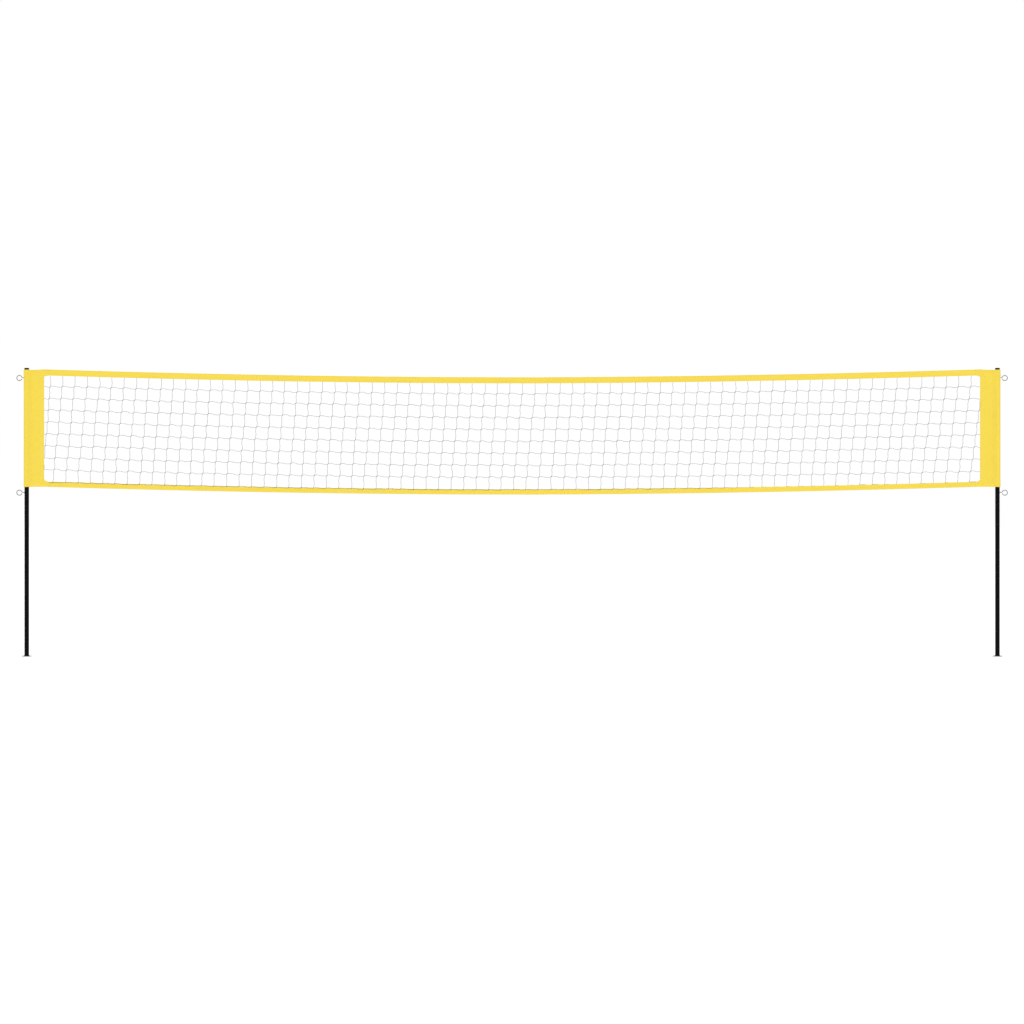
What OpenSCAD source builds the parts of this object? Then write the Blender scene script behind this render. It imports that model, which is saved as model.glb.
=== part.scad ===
// Recreational volleyball net on two sectional steel poles.
// X runs along the net, Y is the depth and Z is up. The origin is on the ground, midway between the poles.
// Each pole part is drawn round its pole's own axis with +X pointing away from the court.

/* [Overall] */
// Width of the whole net, over the outer edges of its two sleeves
net_width = 8230; // [7500:10:9500]
// Height of the poles from the ground to the top of their caps
pole_height = 2430; // [2300:10:2550]

/* [Poles] */
// Outside diameter of the pole tube
pole_d = 38; // [36:0.1:40]
// Wall thickness of the pole tube
pole_wall = 1.5; // [1.2:0.1:1.8]
// Height of the joint between the lower and the middle section
lower_joint_z = 812; // [700:1:900]
// Height of the joint between the middle and the upper section
upper_joint_z = 1622; // [1550:1:1800]
// Length of the reduced end that plugs into the section above
spigot_length = 80; // [60:1:100]
// Gap round a plugged end, measured on the radius
spigot_play = 0.05; // [0.02:0.01:0.1]

/* [Feet and caps] */
// Diameter of the steel disc under each pole
disc_d = 78; // [60:1:120]
// Thickness of the steel disc
disc_thickness = 5; // [4:0.1:6]
// Diameter of the plastic foot's flange, which stands on the disc
foot_d = 44; // [41:0.5:50]
// Thickness of the foot's flange, on which the tube stands
foot_flange_t = 5; // [4:0.5:8]
// Diameter of the cap on top of each pole
cap_d = 39.5; // [38:0.5:44]
// Height of the cap above the tube
cap_height = 13; // [8:0.5:20]

/* [Hooks] */
// Diameter of the hook's stem and its bend
hook_stem_d = 6; // [5.6:0.1:6.4]
// Diameter of the wire in the hook's open ring
hook_wire_d = 5.8; // [5:0.1:5.9]
// Outside diameter of the hook's open ring
hook_ring_d = 49; // [46:1:54]
// Distance from the pole's axis to the centre of the ring
hook_reach = 62; // [60:0.5:70]
// How far the centre of the ring lies below the stem
hook_ring_drop = 2; // [0:0.5:3]
// Height of the upper hooks' stems
upper_hook_z = 2347; // [2320:1:2360]
// Height of the lower hooks' stems
lower_hook_z = 1381; // [1340:1:1385]

/* [Sleeves and bands] */
// Width of each side sleeve
sleeve_width = 172; // [140:1:200]
// Height of each side sleeve at its outer edge
sleeve_height = 988; // [960:1:1000]
// Distance from the pole's axis to the sleeve's outer seam
sleeve_outset = 26; // [24:0.5:27]
// Height of the top band
top_band_h = 51; // [40:1:70]
// Height of the bottom band
bottom_band_h = 43; // [35:1:60]
// How far the top band hangs below a straight line at its middle
top_sag = 67; // [10:1:120]
// How far the bottom band hangs below a straight line at its middle
bottom_sag = 66; // [10:1:120]
// Thickness of one layer of the yellow fabric
fabric_t = 0.8; // [0.6:0.1:1]
// Diameter of the ropes inside the bands
rope_d = 4.4; // [4:0.1:4.4]

/* [Mesh] */
// Number of mesh columns
mesh_columns = 48; // [24:1:50]
// Number of mesh rows
mesh_rows = 6; // [4:1:6]
// Width of a mesh cord
cord_w = 3; // [1.5:0.1:4]
// Thickness of a mesh cord, front to back
cord_t = 1.2; // [0.8:0.1:1.4]
// How far the upright cords drift to the left on their way down
cord_lean = 76; // [0:1:100]

/* [Hidden] */
$fn = 48;

// Tube radii, and the reduced end that slides into the next tube
tube_r = pole_d / 2;
bore_r = tube_r - pole_wall;
spigot_r = bore_r - spigot_play;
spigot_bore_r = spigot_r - pole_wall;
edge_break = 0.5;
neck_drop = 6;
neck_taper = 4;
spigot_lead = 1;

// Heights along the pole
tube_base_z = disc_thickness + foot_flange_t;
tube_top_z = pole_height - cap_height;

// Foot, cap and screw
push_fit = 0.05;
foot_edge = 0.8;
plug_depth = 20;
plug_chamfer = 1;
cap_plug_depth = 25;
cap_edge_r = 2;
screw_r = 2.95;
screw_length = 21;
screw_head_r = 6;
screw_sink = 0.4;
screw_key_r = 2;
screw_key_depth = 1.8;
disc_edge = 0.6;

// Threaded inserts in the tube wall
insert_r = 4.9;
insert_flange_r = 6.5;
insert_flange_t = 0.8;
insert_inner_x = 3;
insert_bulge_t = 2.5;
insert_bulge_x = bore_r - 2 - insert_bulge_t;

// Hook ring, measured to the middle of the wire
hook_stem_r = hook_stem_d / 2;
hook_wire_r = hook_wire_d / 2;
ring_r = (hook_ring_d - hook_wire_d) / 2;
bend_r = 19;
bend_rise = bend_r + hook_ring_drop;
bend_x = hook_reach - sqrt(pow(ring_r + bend_r, 2) - pow(bend_rise, 2));
bend_sweep = acos(bend_rise / (ring_r + bend_r));
ring_start = 90 + bend_sweep;
ring_end = -158;
stem_inner_x = insert_inner_x + 1;
ring_lap = 2;
tip_r = hook_wire_r - 0.15;
tip_angle = ring_end + 1;

// Net outline
pole_x = net_width / 2 - sleeve_outset;
net_half = net_width / 2 - sleeve_width;
sleeve_top_z = pole_height - cap_height - 2;
sleeve_bottom_z = sleeve_top_z - sleeve_height;
band_rise = 3;
hang_power = 1.83;
top_end_z = sleeve_top_z + band_rise;
bottom_end_z = sleeve_bottom_z + 2;
tuck_gap = 0.1;
web_gap = cord_t / 2 + tuck_gap;
web_half = web_gap + fabric_t;
tuck_in = 15;
tuck_clear = 3;
pocket_play = 0.5;
pocket_r = tube_r + pocket_play;
pocket_seam_x = 40;
pocket_steps = 8;
seam_width = 6;
hook_slit_r = 8;

// Band sections
band_steps = 20;
fold_r = rope_d / 2 + 0.4;
fold_steps = 4;
fold_half_angle = 125;
fold_neck = 3;
rope_sides = 6;

// ---- Outline formulas ----

// Upper edge of the top band and lower edge of the bottom band, both hanging nearly in a parabola
function hang(x, sag) = sag * (1 - pow(abs(x / net_half), hang_power));
function top_edge(x) = top_end_z - hang(x, top_sag);
function bottom_edge(x) = bottom_end_z - hang(x, bottom_sag);
// Edges of the opening between the bands
function open_top(x) = top_edge(x) - top_band_h;
function open_bottom(x) = bottom_edge(x) + bottom_band_h;

// Point where a line from p touches a circle of radius r about the origin, on the +Y side
function touch(r, p) =
    let (a = atan2(p.y, p.x), t = acos(r / norm(p)), s = p.x > 0 ? 1 : -1)
    r * [cos(a + s * t), sin(a + s * t)];
function flip_y(p) = [p.x, -p.y];

// Section of a folded tape: leg, neck, then the fold that holds the rope, with Y across and Z from its edge
function fold_arc(r, centre) = [
    for (i = [0 : fold_steps])
        let (a = fold_half_angle - 2 * fold_half_angle * i / fold_steps)
        [-r * sin(a), centre + r * cos(a)]
];
function tape_side(half, r, h) = concat(
    [[-half, -h], [-half, -2 * r - fold_neck]],
    fold_arc(r, -fold_r - fabric_t),
    [[half, -2 * r - fold_neck], [half, -h]]
);
// Closed section of a folded tape: its outside, then its inside back again
function tape_section(h) =
    let (inner = tape_side(web_gap, fold_r, h), n = len(inner))
    concat(tape_side(web_half, fold_r + fabric_t, h), [for (i = [0 : n - 1]) inner[n - 1 - i]]);
function rope_section(r) = [
    for (i = [0 : rope_sides - 1])
        let (a = 360 * i / rope_sides - 180)
        [r * sin(a), r * cos(a) - fold_r - fabric_t]
];

// ---- Solids made from stations along X ----

// Carries a closed section along the net. The section's ends are closed by pairing its first and last points
module along_net(section, up) {
    count = len(section);
    half = count / 2;
    points = [
        for (k = [0 : band_steps])
            let (x = net_half * (2 * k / band_steps - 1), z = up > 0 ? top_edge(x) : bottom_edge(x))
            for (p = section) [x, p.x, z + up * p.y]
    ];
    function at(k, i) = k * count + (i % count);
    function quad(a, b, c, d) = up > 0 ? [[a, b, c], [a, c, d]] : [[a, c, b], [a, d, c]];
    last = band_steps;
    faces = concat(
        [for (k = [0 : last - 1], i = [0 : count - 1])
            each quad(at(k, i), at(k, i + 1), at(k + 1, i + 1), at(k + 1, i))],
        [for (i = [0 : half - 2])
            each quad(at(0, i), at(0, count - 1 - i), at(0, count - 2 - i), at(0, i + 1))],
        [for (i = [0 : half - 2])
            each quad(at(last, i), at(last, i + 1), at(last, count - 2 - i), at(last, count - 1 - i))]
    );
    polyhedron(points, faces);
}

// ---- Placing the two poles ----

module on_right() {
    translate([pole_x, 0, 0]) children();
}

module on_left() {
    mirror([1, 0, 0]) on_right() children();
}

// ---- Foot and cap ----

module foot_disc() {
    r = disc_d / 2;
    t = disc_thickness;
    sink_r = screw_head_r + 0.1;
    hole_r = screw_r + 0.15;
    color("lightslategray") rotate_extrude() polygon([
        [sink_r, 0],
        [r - disc_edge, 0],
        [r, disc_edge],
        [r, t - disc_edge],
        [r - disc_edge, t],
        [hole_r, t],
        [hole_r, sink_r - hole_r]
    ]);
}

module foot_screw() {
    head_h = screw_head_r - screw_r;
    color("silver") difference() {
        rotate_extrude() polygon([
            [0, screw_sink],
            [screw_head_r - screw_sink, screw_sink],
            [screw_r, head_h],
            [screw_r, screw_length - 1],
            [screw_r - 1, screw_length],
            [0, screw_length]
        ]);
        cylinder(r = screw_key_r, h = screw_sink + screw_key_depth, $fn = 6);
    }
}

module foot_cap() {
    base_z = disc_thickness;
    foot_r = foot_d / 2;
    plug_r = bore_r - 2 * push_fit;
    plug_top = tube_base_z + plug_depth;
    color([0.09, 0.09, 0.10]) rotate_extrude() polygon([
        [screw_r + push_fit, base_z],
        [foot_r, base_z],
        [foot_r, tube_base_z - foot_edge],
        [foot_r - foot_edge, tube_base_z],
        [plug_r, tube_base_z],
        [plug_r, plug_top - plug_chamfer],
        [plug_r - plug_chamfer, plug_top],
        [screw_r + push_fit, plug_top]
    ]);
}

module top_cap() {
    r = cap_d / 2;
    plug_r = bore_r - 2 * push_fit;
    color([0.09, 0.09, 0.10]) translate([0, 0, tube_top_z]) {
        rotate_extrude() {
            square([r - cap_edge_r, cap_height]);
            square([r, cap_height - cap_edge_r]);
            intersection() {
                translate([r - cap_edge_r, cap_height - cap_edge_r]) circle(cap_edge_r);
                square([r, cap_height]);
            }
        }
        translate([0, 0, -cap_plug_depth]) cylinder(r = plug_r, h = cap_plug_depth);
    }
}

// ---- Pole sections ----

// One tube from z0 to z1, with a reduced end above z1 where another section plugs on
module tube_section(z0, z1, spigot) {
    plain_end = [[tube_r, z1], [bore_r, z1]];
    reduced_end = [
        [tube_r, z1 - edge_break],
        [tube_r - edge_break, z1],
        [spigot_r, z1],
        [spigot_r, z1 + spigot_length - spigot_lead],
        [spigot_r - spigot_lead, z1 + spigot_length],
        [spigot_bore_r, z1 + spigot_length],
        [spigot_bore_r, z1 - neck_drop],
        [bore_r, z1 - neck_drop - neck_taper]
    ];
    rotate_extrude() polygon(concat(
        [[bore_r, z0], [tube_r - edge_break, z0], [tube_r, z0 + edge_break]],
        spigot ? reduced_end : plain_end
    ));
}

module insert_hole(z) {
    translate([bore_r / 2, 0, z]) rotate([0, 90, 0]) cylinder(r = insert_r + push_fit, h = tube_r);
}

module lower_pole() {
    color([0.07, 0.07, 0.08]) tube_section(tube_base_z, lower_joint_z, true);
}

module middle_pole() {
    color([0.07, 0.07, 0.08]) difference() {
        tube_section(lower_joint_z, upper_joint_z, true);
        insert_hole(lower_hook_z);
    }
}

module upper_pole() {
    color([0.07, 0.07, 0.08]) difference() {
        tube_section(upper_joint_z, tube_top_z, false);
        insert_hole(upper_hook_z);
    }
}

// ---- Threaded insert and hook ----

// Blind-riveted insert: barrel through the wall, flange saddled on the tube, and a bulge that grips inside
module insert(z) {
    flange_x = tube_r + insert_flange_t;
    color("silver") translate([0, 0, z]) difference() {
        union() {
            translate([insert_inner_x, 0, 0]) rotate([0, 90, 0])
                cylinder(r = insert_r, h = flange_x - insert_inner_x);
            translate([insert_bulge_x, 0, 0]) rotate([0, 90, 0])
                cylinder(r = insert_flange_r, h = insert_bulge_t);
            difference() {
                translate([bore_r, 0, 0]) rotate([0, 90, 0])
                    cylinder(r = insert_flange_r, h = flange_x - bore_r);
                translate([0, 0, -tube_r]) cylinder(r = tube_r, h = pole_d);
            }
        }
        rotate([0, 90, 0]) cylinder(r = hook_stem_r + push_fit, h = flange_x + 1);
    }
}

// Arc of wire in the XZ plane, from angle a0 over a sweep, about [x, z]
module wire_arc(x, z, arc_r, wire_r, a0, sweep) {
    translate([x, 0, z]) rotate([90, 0, 0]) rotate([0, 0, a0])
        rotate_extrude(angle = sweep) translate([arc_r, 0]) circle(wire_r);
}

// Screw hook: a straight stem that bends up into an open ring, which ends in a round tip below the stem.
// The ring's wire is a little thinner than the stem's and starts just inside the bend
module hook(z) {
    color("silver") translate([0, 0, z]) {
        translate([stem_inner_x, 0, 0]) rotate([0, 90, 0])
            cylinder(r = hook_stem_r, h = bend_x - stem_inner_x);
        wire_arc(bend_x, bend_r, bend_r, hook_stem_r, -90, bend_sweep);
        translate([hook_reach, 0, -hook_ring_drop]) {
            wire_arc(0, 0, ring_r, hook_wire_r, ring_end, ring_start + ring_lap - ring_end);
            translate([ring_r * cos(tip_angle), 0, ring_r * sin(tip_angle)]) sphere(tip_r);
        }
    }
}

module lower_insert() {
    insert(lower_hook_z);
}

module upper_insert() {
    insert(upper_hook_z);
}

module lower_hook() {
    hook(lower_hook_z);
}

module upper_hook() {
    hook(upper_hook_z);
}

// ---- Net ----

// Plan of the pocket: round the tube, drawn out to a seam at its tip and to the web at its root.
// One side runs from the tip to the root, and the other is its reflection
function pocket_side(r, tip, root) =
    let (start = touch(r, tip), end = touch(r, root), a = atan2(start.y, start.x), b = atan2(end.y, end.x))
    concat(
        [for (i = [0 : pocket_steps]) let (t = a + (b - a) * i / pocket_steps) r * [cos(t), sin(t)]],
        [root]
    );
function both_sides(tip, side) =
    concat([tip], side, [for (i = [len(side) - 1 : -1 : 0]) flip_y(side[i])]);

module sleeve_plan() {
    inner_edge = sleeve_width - sleeve_outset;
    outer_tip = [sleeve_outset, 0];
    inner_tip = [sleeve_outset - 2 * fabric_t, 0];
    outer_wall = pocket_side(pocket_r + fabric_t, outer_tip, [-pocket_seam_x, web_half]);
    inner_wall = pocket_side(pocket_r, inner_tip, [-pocket_seam_x, web_gap]);
    difference() {
        polygon(both_sides(outer_tip, concat(outer_wall, [[-inner_edge, web_half]])));
        polygon(both_sides(inner_tip, inner_wall));
        translate([-inner_edge - 1, -web_gap])
            square([inner_edge + 1 - pocket_seam_x - seam_width, 2 * web_gap]);
    }
}

// Side view of the sleeve, whose ends slope a little to meet the bands
module sleeve_side() {
    inner_edge = sleeve_width - sleeve_outset;
    polygon([
        [sleeve_outset, sleeve_bottom_z],
        [sleeve_outset, sleeve_top_z],
        [-inner_edge, top_end_z],
        [-inner_edge, bottom_end_z]
    ]);
}

module sleeve() {
    color("gold") difference() {
        intersection() {
            translate([0, 0, sleeve_bottom_z - 1])
                linear_extrude(top_end_z - sleeve_bottom_z + 2) sleeve_plan();
            translate([0, pole_d, 0]) rotate([90, 0, 0]) linear_extrude(2 * pole_d) sleeve_side();
        }
        translate([bore_r / 2, 0, upper_hook_z]) rotate([0, 90, 0])
            cylinder(r = hook_slit_r, h = sleeve_outset);
    }
}

module top_band() {
    color("gold") along_net(tape_section(top_band_h), 1);
}

module bottom_band() {
    color("gold") along_net(tape_section(bottom_band_h), -1);
}

module top_rope() {
    color("whitesmoke") along_net(rope_section(rope_d / 2), 1);
}

module bottom_rope() {
    color("whitesmoke") along_net(rope_section(rope_d / 2), -1);
}

// The mesh is one sheet of crossing cords. Each cord has two sides, so sides 2i and 2i + 1 bound cord i,
// and a patch between sides is open when both of its side numbers are odd
module mesh_net() {
    sides_x = 2 * mesh_columns + 2;
    sides_z = 2 * mesh_rows + 2;
    function cord_x(i, v) =
        let (u = 2 * i / mesh_columns - 1)
        net_half * u - cord_lean * v * (1 - pow(u, 8));
    function side_x(a, v) =
        let (i = floor(a / 2), right = a % 2)
        i == 0 ? -net_half - (right ? tuck_clear : tuck_in)
        : i == mesh_columns ? net_half + (right ? tuck_in : tuck_clear)
        : cord_x(i, v) + (right - 0.5) * cord_w;
    function side_z(b, x) =
        let (j = floor(b / 2), low = b % 2, v = j / mesh_rows)
        j == 0 ? open_top(x) + (low ? tuck_clear : tuck_in)
        : j == mesh_rows ? open_bottom(x) - (low ? tuck_in : tuck_clear)
        : open_top(x) * (1 - v) + open_bottom(x) * v + (0.5 - low) * cord_w;
    // y is in the outer loop, so the front points come first and then the back ones
    points = [
        for (y = [-cord_t / 2, cord_t / 2], b = [0 : sides_z - 1], a = [0 : sides_x - 1])
            let (x = side_x(a, floor(b / 2) / mesh_rows))
            [x, y, side_z(b, x)]
    ];
    back = sides_x * sides_z;
    function at(a, b) = b * sides_x + a;
    function patch(a, b) = [at(a, b), at(a + 1, b), at(a + 1, b + 1), at(a, b + 1)];
    function sheet(p, d) = [[p[0] + d, p[1] + d, p[2] + d], [p[0] + d, p[2] + d, p[3] + d]];
    function turned(faces) = [for (f = faces) [f[0], f[2], f[1]]];
    function wall(p, q) = [[p, q, q + back], [p, q + back, p + back]];
    corner_x = sides_x - 1;
    corner_z = sides_z - 1;
    faces = concat(
        [for (b = [0 : corner_z - 1], a = [0 : corner_x - 1]) if (a % 2 == 0 || b % 2 == 0)
            each concat(sheet(patch(a, b), 0), turned(sheet(patch(a, b), back)))],
        [for (b = [1 : 2 : corner_z - 1], a = [1 : 2 : corner_x - 1])
            let (p = patch(a, b))
            each [for (i = [0 : 3]) each wall(p[i], p[(i + 1) % 4])]],
        [for (a = [0 : corner_x - 1]) each wall(at(a + 1, 0), at(a, 0))],
        [for (a = [0 : corner_x - 1]) each wall(at(a, corner_z), at(a + 1, corner_z))],
        [for (b = [0 : corner_z - 1]) each wall(at(0, b), at(0, b + 1))],
        [for (b = [0 : corner_z - 1]) each wall(at(corner_x, b + 1), at(corner_x, b))]
    );
    color([0.13, 0.13, 0.14]) polyhedron(points, faces);
}

// ---- Parts ----

on_left() foot_disc();  // left_foot_disc
on_left() foot_screw();  // left_foot_screw
on_left() foot_cap();  // left_foot_cap
on_left() lower_pole();  // left_lower_pole
on_left() middle_pole();  // left_middle_pole
on_left() upper_pole();  // left_upper_pole
on_left() top_cap();  // left_top_cap
on_left() lower_insert();  // left_lower_insert
on_left() upper_insert();  // left_upper_insert
on_left() lower_hook();  // left_lower_hook
on_left() upper_hook();  // left_upper_hook
on_left() sleeve();  // left_sleeve
on_right() foot_disc();  // right_foot_disc
on_right() foot_screw();  // right_foot_screw
on_right() foot_cap();  // right_foot_cap
on_right() lower_pole();  // right_lower_pole
on_right() middle_pole();  // right_middle_pole
on_right() upper_pole();  // right_upper_pole
on_right() top_cap();  // right_top_cap
on_right() lower_insert();  // right_lower_insert
on_right() upper_insert();  // right_upper_insert
on_right() lower_hook();  // right_lower_hook
on_right() upper_hook();  // right_upper_hook
on_right() sleeve();  // right_sleeve
top_band();
top_rope();
mesh_net();
bottom_band();
bottom_rope();
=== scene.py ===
"""Looks of a recreational volleyball net on two sectional poles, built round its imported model.

Lengths are metres. X runs along the net, Y is the depth and Z is up. Each pole's own parts are worked
out with X pointing away from the court, and a Side turns that into the place in the scene.
"""

import logging
import math
import random
from collections.abc import Callable, Iterator, Sequence
from contextlib import contextmanager
from dataclasses import dataclass, field
from enum import Enum

import bmesh
import bpy
import numpy as np
from bpy.types import ID, Material, Node, NodeSocket, Object, ShaderNodeTree
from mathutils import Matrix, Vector


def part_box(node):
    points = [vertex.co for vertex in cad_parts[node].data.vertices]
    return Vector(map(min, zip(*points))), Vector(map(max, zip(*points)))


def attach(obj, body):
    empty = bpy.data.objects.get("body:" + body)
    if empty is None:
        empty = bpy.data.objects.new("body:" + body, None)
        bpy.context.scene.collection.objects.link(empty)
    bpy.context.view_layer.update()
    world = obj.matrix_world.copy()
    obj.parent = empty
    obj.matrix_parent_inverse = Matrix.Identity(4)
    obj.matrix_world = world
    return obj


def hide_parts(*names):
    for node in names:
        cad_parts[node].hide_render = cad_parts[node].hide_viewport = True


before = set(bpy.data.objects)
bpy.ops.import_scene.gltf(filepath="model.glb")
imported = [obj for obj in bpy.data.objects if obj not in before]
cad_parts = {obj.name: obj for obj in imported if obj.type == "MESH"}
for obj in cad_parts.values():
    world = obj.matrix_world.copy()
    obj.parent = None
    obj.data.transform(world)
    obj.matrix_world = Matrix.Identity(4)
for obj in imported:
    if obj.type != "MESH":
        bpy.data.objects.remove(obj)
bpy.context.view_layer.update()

MM = 0.001
UV_LAYER = "UVMap"
LOG = logging.getLogger("volleyball_net")

Colour = tuple[float, float, float]
Paint = tuple[float, float, float, float]


class Choice(Enum):
    """A choice whose own name also starts or fills the names of parts."""

    @property
    def word(self) -> str:
        """The choice's word in the names of parts."""
        return self.name.lower()


class Side(Choice):
    """The two ends of the net, with the sign of X there."""

    LEFT = -1
    RIGHT = 1


class Level(Choice):
    """The two heights of hook."""

    LOWER = 1
    UPPER = 2


class Edge(Choice):
    """The two bands of the net, with the direction from the band's outer edge to the mesh."""

    TOP = -1
    BOTTOM = 1


# ---- Mesh tools ----


def pick(*pieces: Object) -> None:
    """Selects only these pieces and makes the first one active.

    Args:
        pieces: The pieces to select.
    """
    bpy.ops.object.select_all(action="DESELECT")
    for piece in pieces:
        piece.select_set(True)
    bpy.context.view_layer.objects.active = pieces[0]


@contextmanager
def editing(piece: Object) -> Iterator[None]:
    """Keeps a piece in edit mode for the length of a with block.

    Args:
        piece: The piece to edit.

    Yields:
        Nothing, once the piece is in edit mode.
    """
    pick(piece)
    bpy.ops.object.mode_set(mode="EDIT")
    yield
    bpy.ops.object.mode_set(mode="OBJECT")


def select_faces(piece: Object, wanted: Callable[[Vector, Vector], bool]) -> None:
    """Selects faces of the piece in edit mode by their place and normal.

    Args:
        piece: The piece in edit mode.
        wanted: Says from a face's centre and normal whether it is selected.
    """
    bpy.ops.mesh.select_mode(type="FACE")
    bpy.ops.mesh.select_all(action="DESELECT")
    shape = bmesh.from_edit_mesh(piece.data)
    for face in shape.faces:
        face.select_set(wanted(face.calc_center_median(), face.normal))
    bmesh.update_edit_mesh(piece.data)


def thicken(cloth: Object, thickness: float) -> None:
    """Gives a single layer of cloth its thickness, half of it on each side.

    Args:
        cloth: The layer.
        thickness: How thick it gets.
    """
    pick(cloth)
    modifier = cloth.modifiers.new("solidify", "SOLIDIFY")
    modifier.thickness = thickness
    modifier.offset = 0
    modifier.use_even_offset = True
    bpy.ops.object.modifier_apply(modifier=modifier.name)


def settle(piece: Object, name: str, smooth_angle: float = 40.0) -> Object:
    """Names a piece, puts its place into its mesh and smooths its shading up to an angle.

    Args:
        piece: The piece to finish.
        name: The piece's name.
        smooth_angle: The sharpest angle, in degrees, that is shaded smooth.

    Returns:
        The same piece.
    """
    pick(piece)
    bpy.ops.object.transform_apply(location=True, rotation=True, scale=True)
    bpy.ops.object.shade_smooth_by_angle(angle=math.radians(smooth_angle))
    piece.name = name
    piece.data.name = name
    return piece


def dress(piece: Object, material: Material, body: str, slot: str, *nodes: str) -> Object:
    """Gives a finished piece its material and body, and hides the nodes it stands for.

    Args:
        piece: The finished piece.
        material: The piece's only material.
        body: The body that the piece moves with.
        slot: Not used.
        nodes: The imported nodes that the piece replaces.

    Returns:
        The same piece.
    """
    piece.data.materials.clear()
    piece.data.materials.append(material)
    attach(piece, body)
    if nodes:
        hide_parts(*nodes)
    LOG.info("%s: %d faces on %s", piece.name, len(piece.data.polygons), body)
    return piece


def cloth_grid(columns: int, rows: int, lay: Callable[[np.ndarray, np.ndarray], np.ndarray],
               size: tuple[np.ndarray, np.ndarray]) -> Object:
    """Adds a flat grid of cloth and lays it to shape, with a UV map in metres of cloth.

    Args:
        columns: The number of points across the cloth.
        rows: The number of points along it.
        lay: Gives the points' places, shaped (n, 3), from their column and row numbers.
        size: The distance of each column, and of each row, from the cloth's corner.

    Returns:
        The cloth, still a single layer.
    """
    bpy.ops.object.select_all(action="DESELECT")
    bpy.ops.mesh.primitive_grid_add(x_subdivisions=columns - 1, y_subdivisions=rows - 1, size=1)
    cloth = bpy.context.object
    count = len(cloth.data.vertices)
    flat = np.zeros(count * 3)
    cloth.data.vertices.foreach_get("co", flat)
    flat = flat.reshape(-1, 3)
    column = np.rint((flat[:, 0] + 0.5) * (columns - 1)).astype(int)
    row = np.rint((flat[:, 1] + 0.5) * (rows - 1)).astype(int)
    cloth.data.vertices.foreach_set("co", lay(column, row).ravel())
    corner = np.zeros(len(cloth.data.loops), int)
    cloth.data.loops.foreach_get("vertex_index", corner)
    spread = np.stack([size[0][column[corner]], size[1][row[corner]]], axis=1)
    cloth.data.uv_layers[UV_LAYER].data.foreach_set("uv", spread.ravel())
    cloth.data.update()
    return cloth


def in_scene(data: ID) -> Object:
    """Adds a mesh or curve to the scene as an object of its own.

    Args:
        data: The mesh or curve.

    Returns:
        The object.
    """
    piece = bpy.data.objects.new(data.name, data)
    bpy.context.scene.collection.objects.link(piece)
    return piece


def join(pieces: Sequence[Object]) -> Object:
    """Joins pieces into the first one.

    Args:
        pieces: The pieces to join.

    Returns:
        The joined piece.
    """
    pick(*pieces)
    bpy.ops.object.join()
    return bpy.context.object


def tubes(paths: Sequence[np.ndarray], radius: float, roundness: int, closed: bool = False,
          taper: Sequence[float] | None = None) -> Object:
    """Makes round tubes along paths.

    Args:
        paths: The points that each tube follows, shaped (n, 3).
        radius: The tubes' radius.
        roundness: How many pairs of sides the tubes have beyond the first two.
        closed: Whether each tube runs back to its start.
        taper: The share of the radius at each point, the same for every path.

    Returns:
        One mesh that holds all the tubes.
    """
    curve = bpy.data.curves.new("tubes", "CURVE")
    curve.dimensions = "3D"
    curve.bevel_depth = radius
    curve.bevel_resolution = roundness
    curve.use_fill_caps = not closed
    for path in paths:
        spline = curve.splines.new("POLY")
        spline.points.add(len(path) - 1)
        spline.points.foreach_set("co", np.column_stack([path, np.ones(len(path))]).ravel())
        spline.use_cyclic_u = closed
        spline.use_smooth = True
        if taper is not None:
            spline.points.foreach_set("radius", taper)
    piece = in_scene(curve)
    pick(piece)
    bpy.ops.object.convert(target="MESH")
    with editing(piece):
        bpy.ops.mesh.select_mode(type="VERT")
        bpy.ops.mesh.select_all(action="SELECT")
        bpy.ops.mesh.normals_make_consistent(inside=False)
    return piece


def lathe(outline: Sequence[tuple[float, float]], centre: Vector, steps: int, ring: bool) -> Object:
    """Turns an outline round an upright axis by drawing a circle out from ring to ring.

    Args:
        outline: The radius and height of each ring, bottom first on the outside.
        centre: The point on the axis that heights are counted from.
        steps: The number of sides.
        ring: Whether the outline runs back to its start. Otherwise its two ends are closed.

    Returns:
        The closed shape.
    """
    radius, height = outline[0]
    bpy.ops.object.select_all(action="DESELECT")
    bpy.ops.mesh.primitive_circle_add(vertices=steps, radius=radius, location=centre + Vector((0, 0, height)))
    piece = bpy.context.object
    with editing(piece):
        bpy.ops.mesh.select_mode(type="VERT")
        bpy.ops.mesh.select_all(action="SELECT")
        for (inner, low), (outer, high) in zip(outline, outline[1:]):
            bpy.ops.mesh.extrude_region_move(TRANSFORM_OT_translate={"value": (0, 0, high - low)})
            share = outer / inner
            bpy.ops.transform.resize(value=(share, share, 1), center_override=centre)
        if not ring:
            bpy.ops.mesh.edge_face_add()
            bpy.ops.mesh.select_all(action="SELECT")
            bpy.ops.mesh.fill_holes(sides=0)
        bpy.ops.mesh.select_all(action="SELECT")
        bpy.ops.mesh.remove_doubles(threshold=0.01 * MM)
        bpy.ops.mesh.normals_make_consistent(inside=False)
    return piece


def rounding(radius: float, height: float, size: float, start: float, end: float,
             steps: int = 5) -> list[tuple[float, float]]:
    """Points of a rounded edge for a lathe outline.

    Args:
        radius: The distance of the rounding's centre from the axis.
        height: The height of the rounding's centre.
        size: The rounding's own radius.
        start: The angle it starts at, in degrees from straight out.
        end: The angle it ends at.
        steps: The number of steps between them.

    Returns:
        The radius and height of each point.
    """
    turns = [math.radians(start + (end - start) * i / steps) for i in range(steps + 1)]
    return [(radius + size * math.cos(a), height + size * math.sin(a)) for a in turns]


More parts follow.
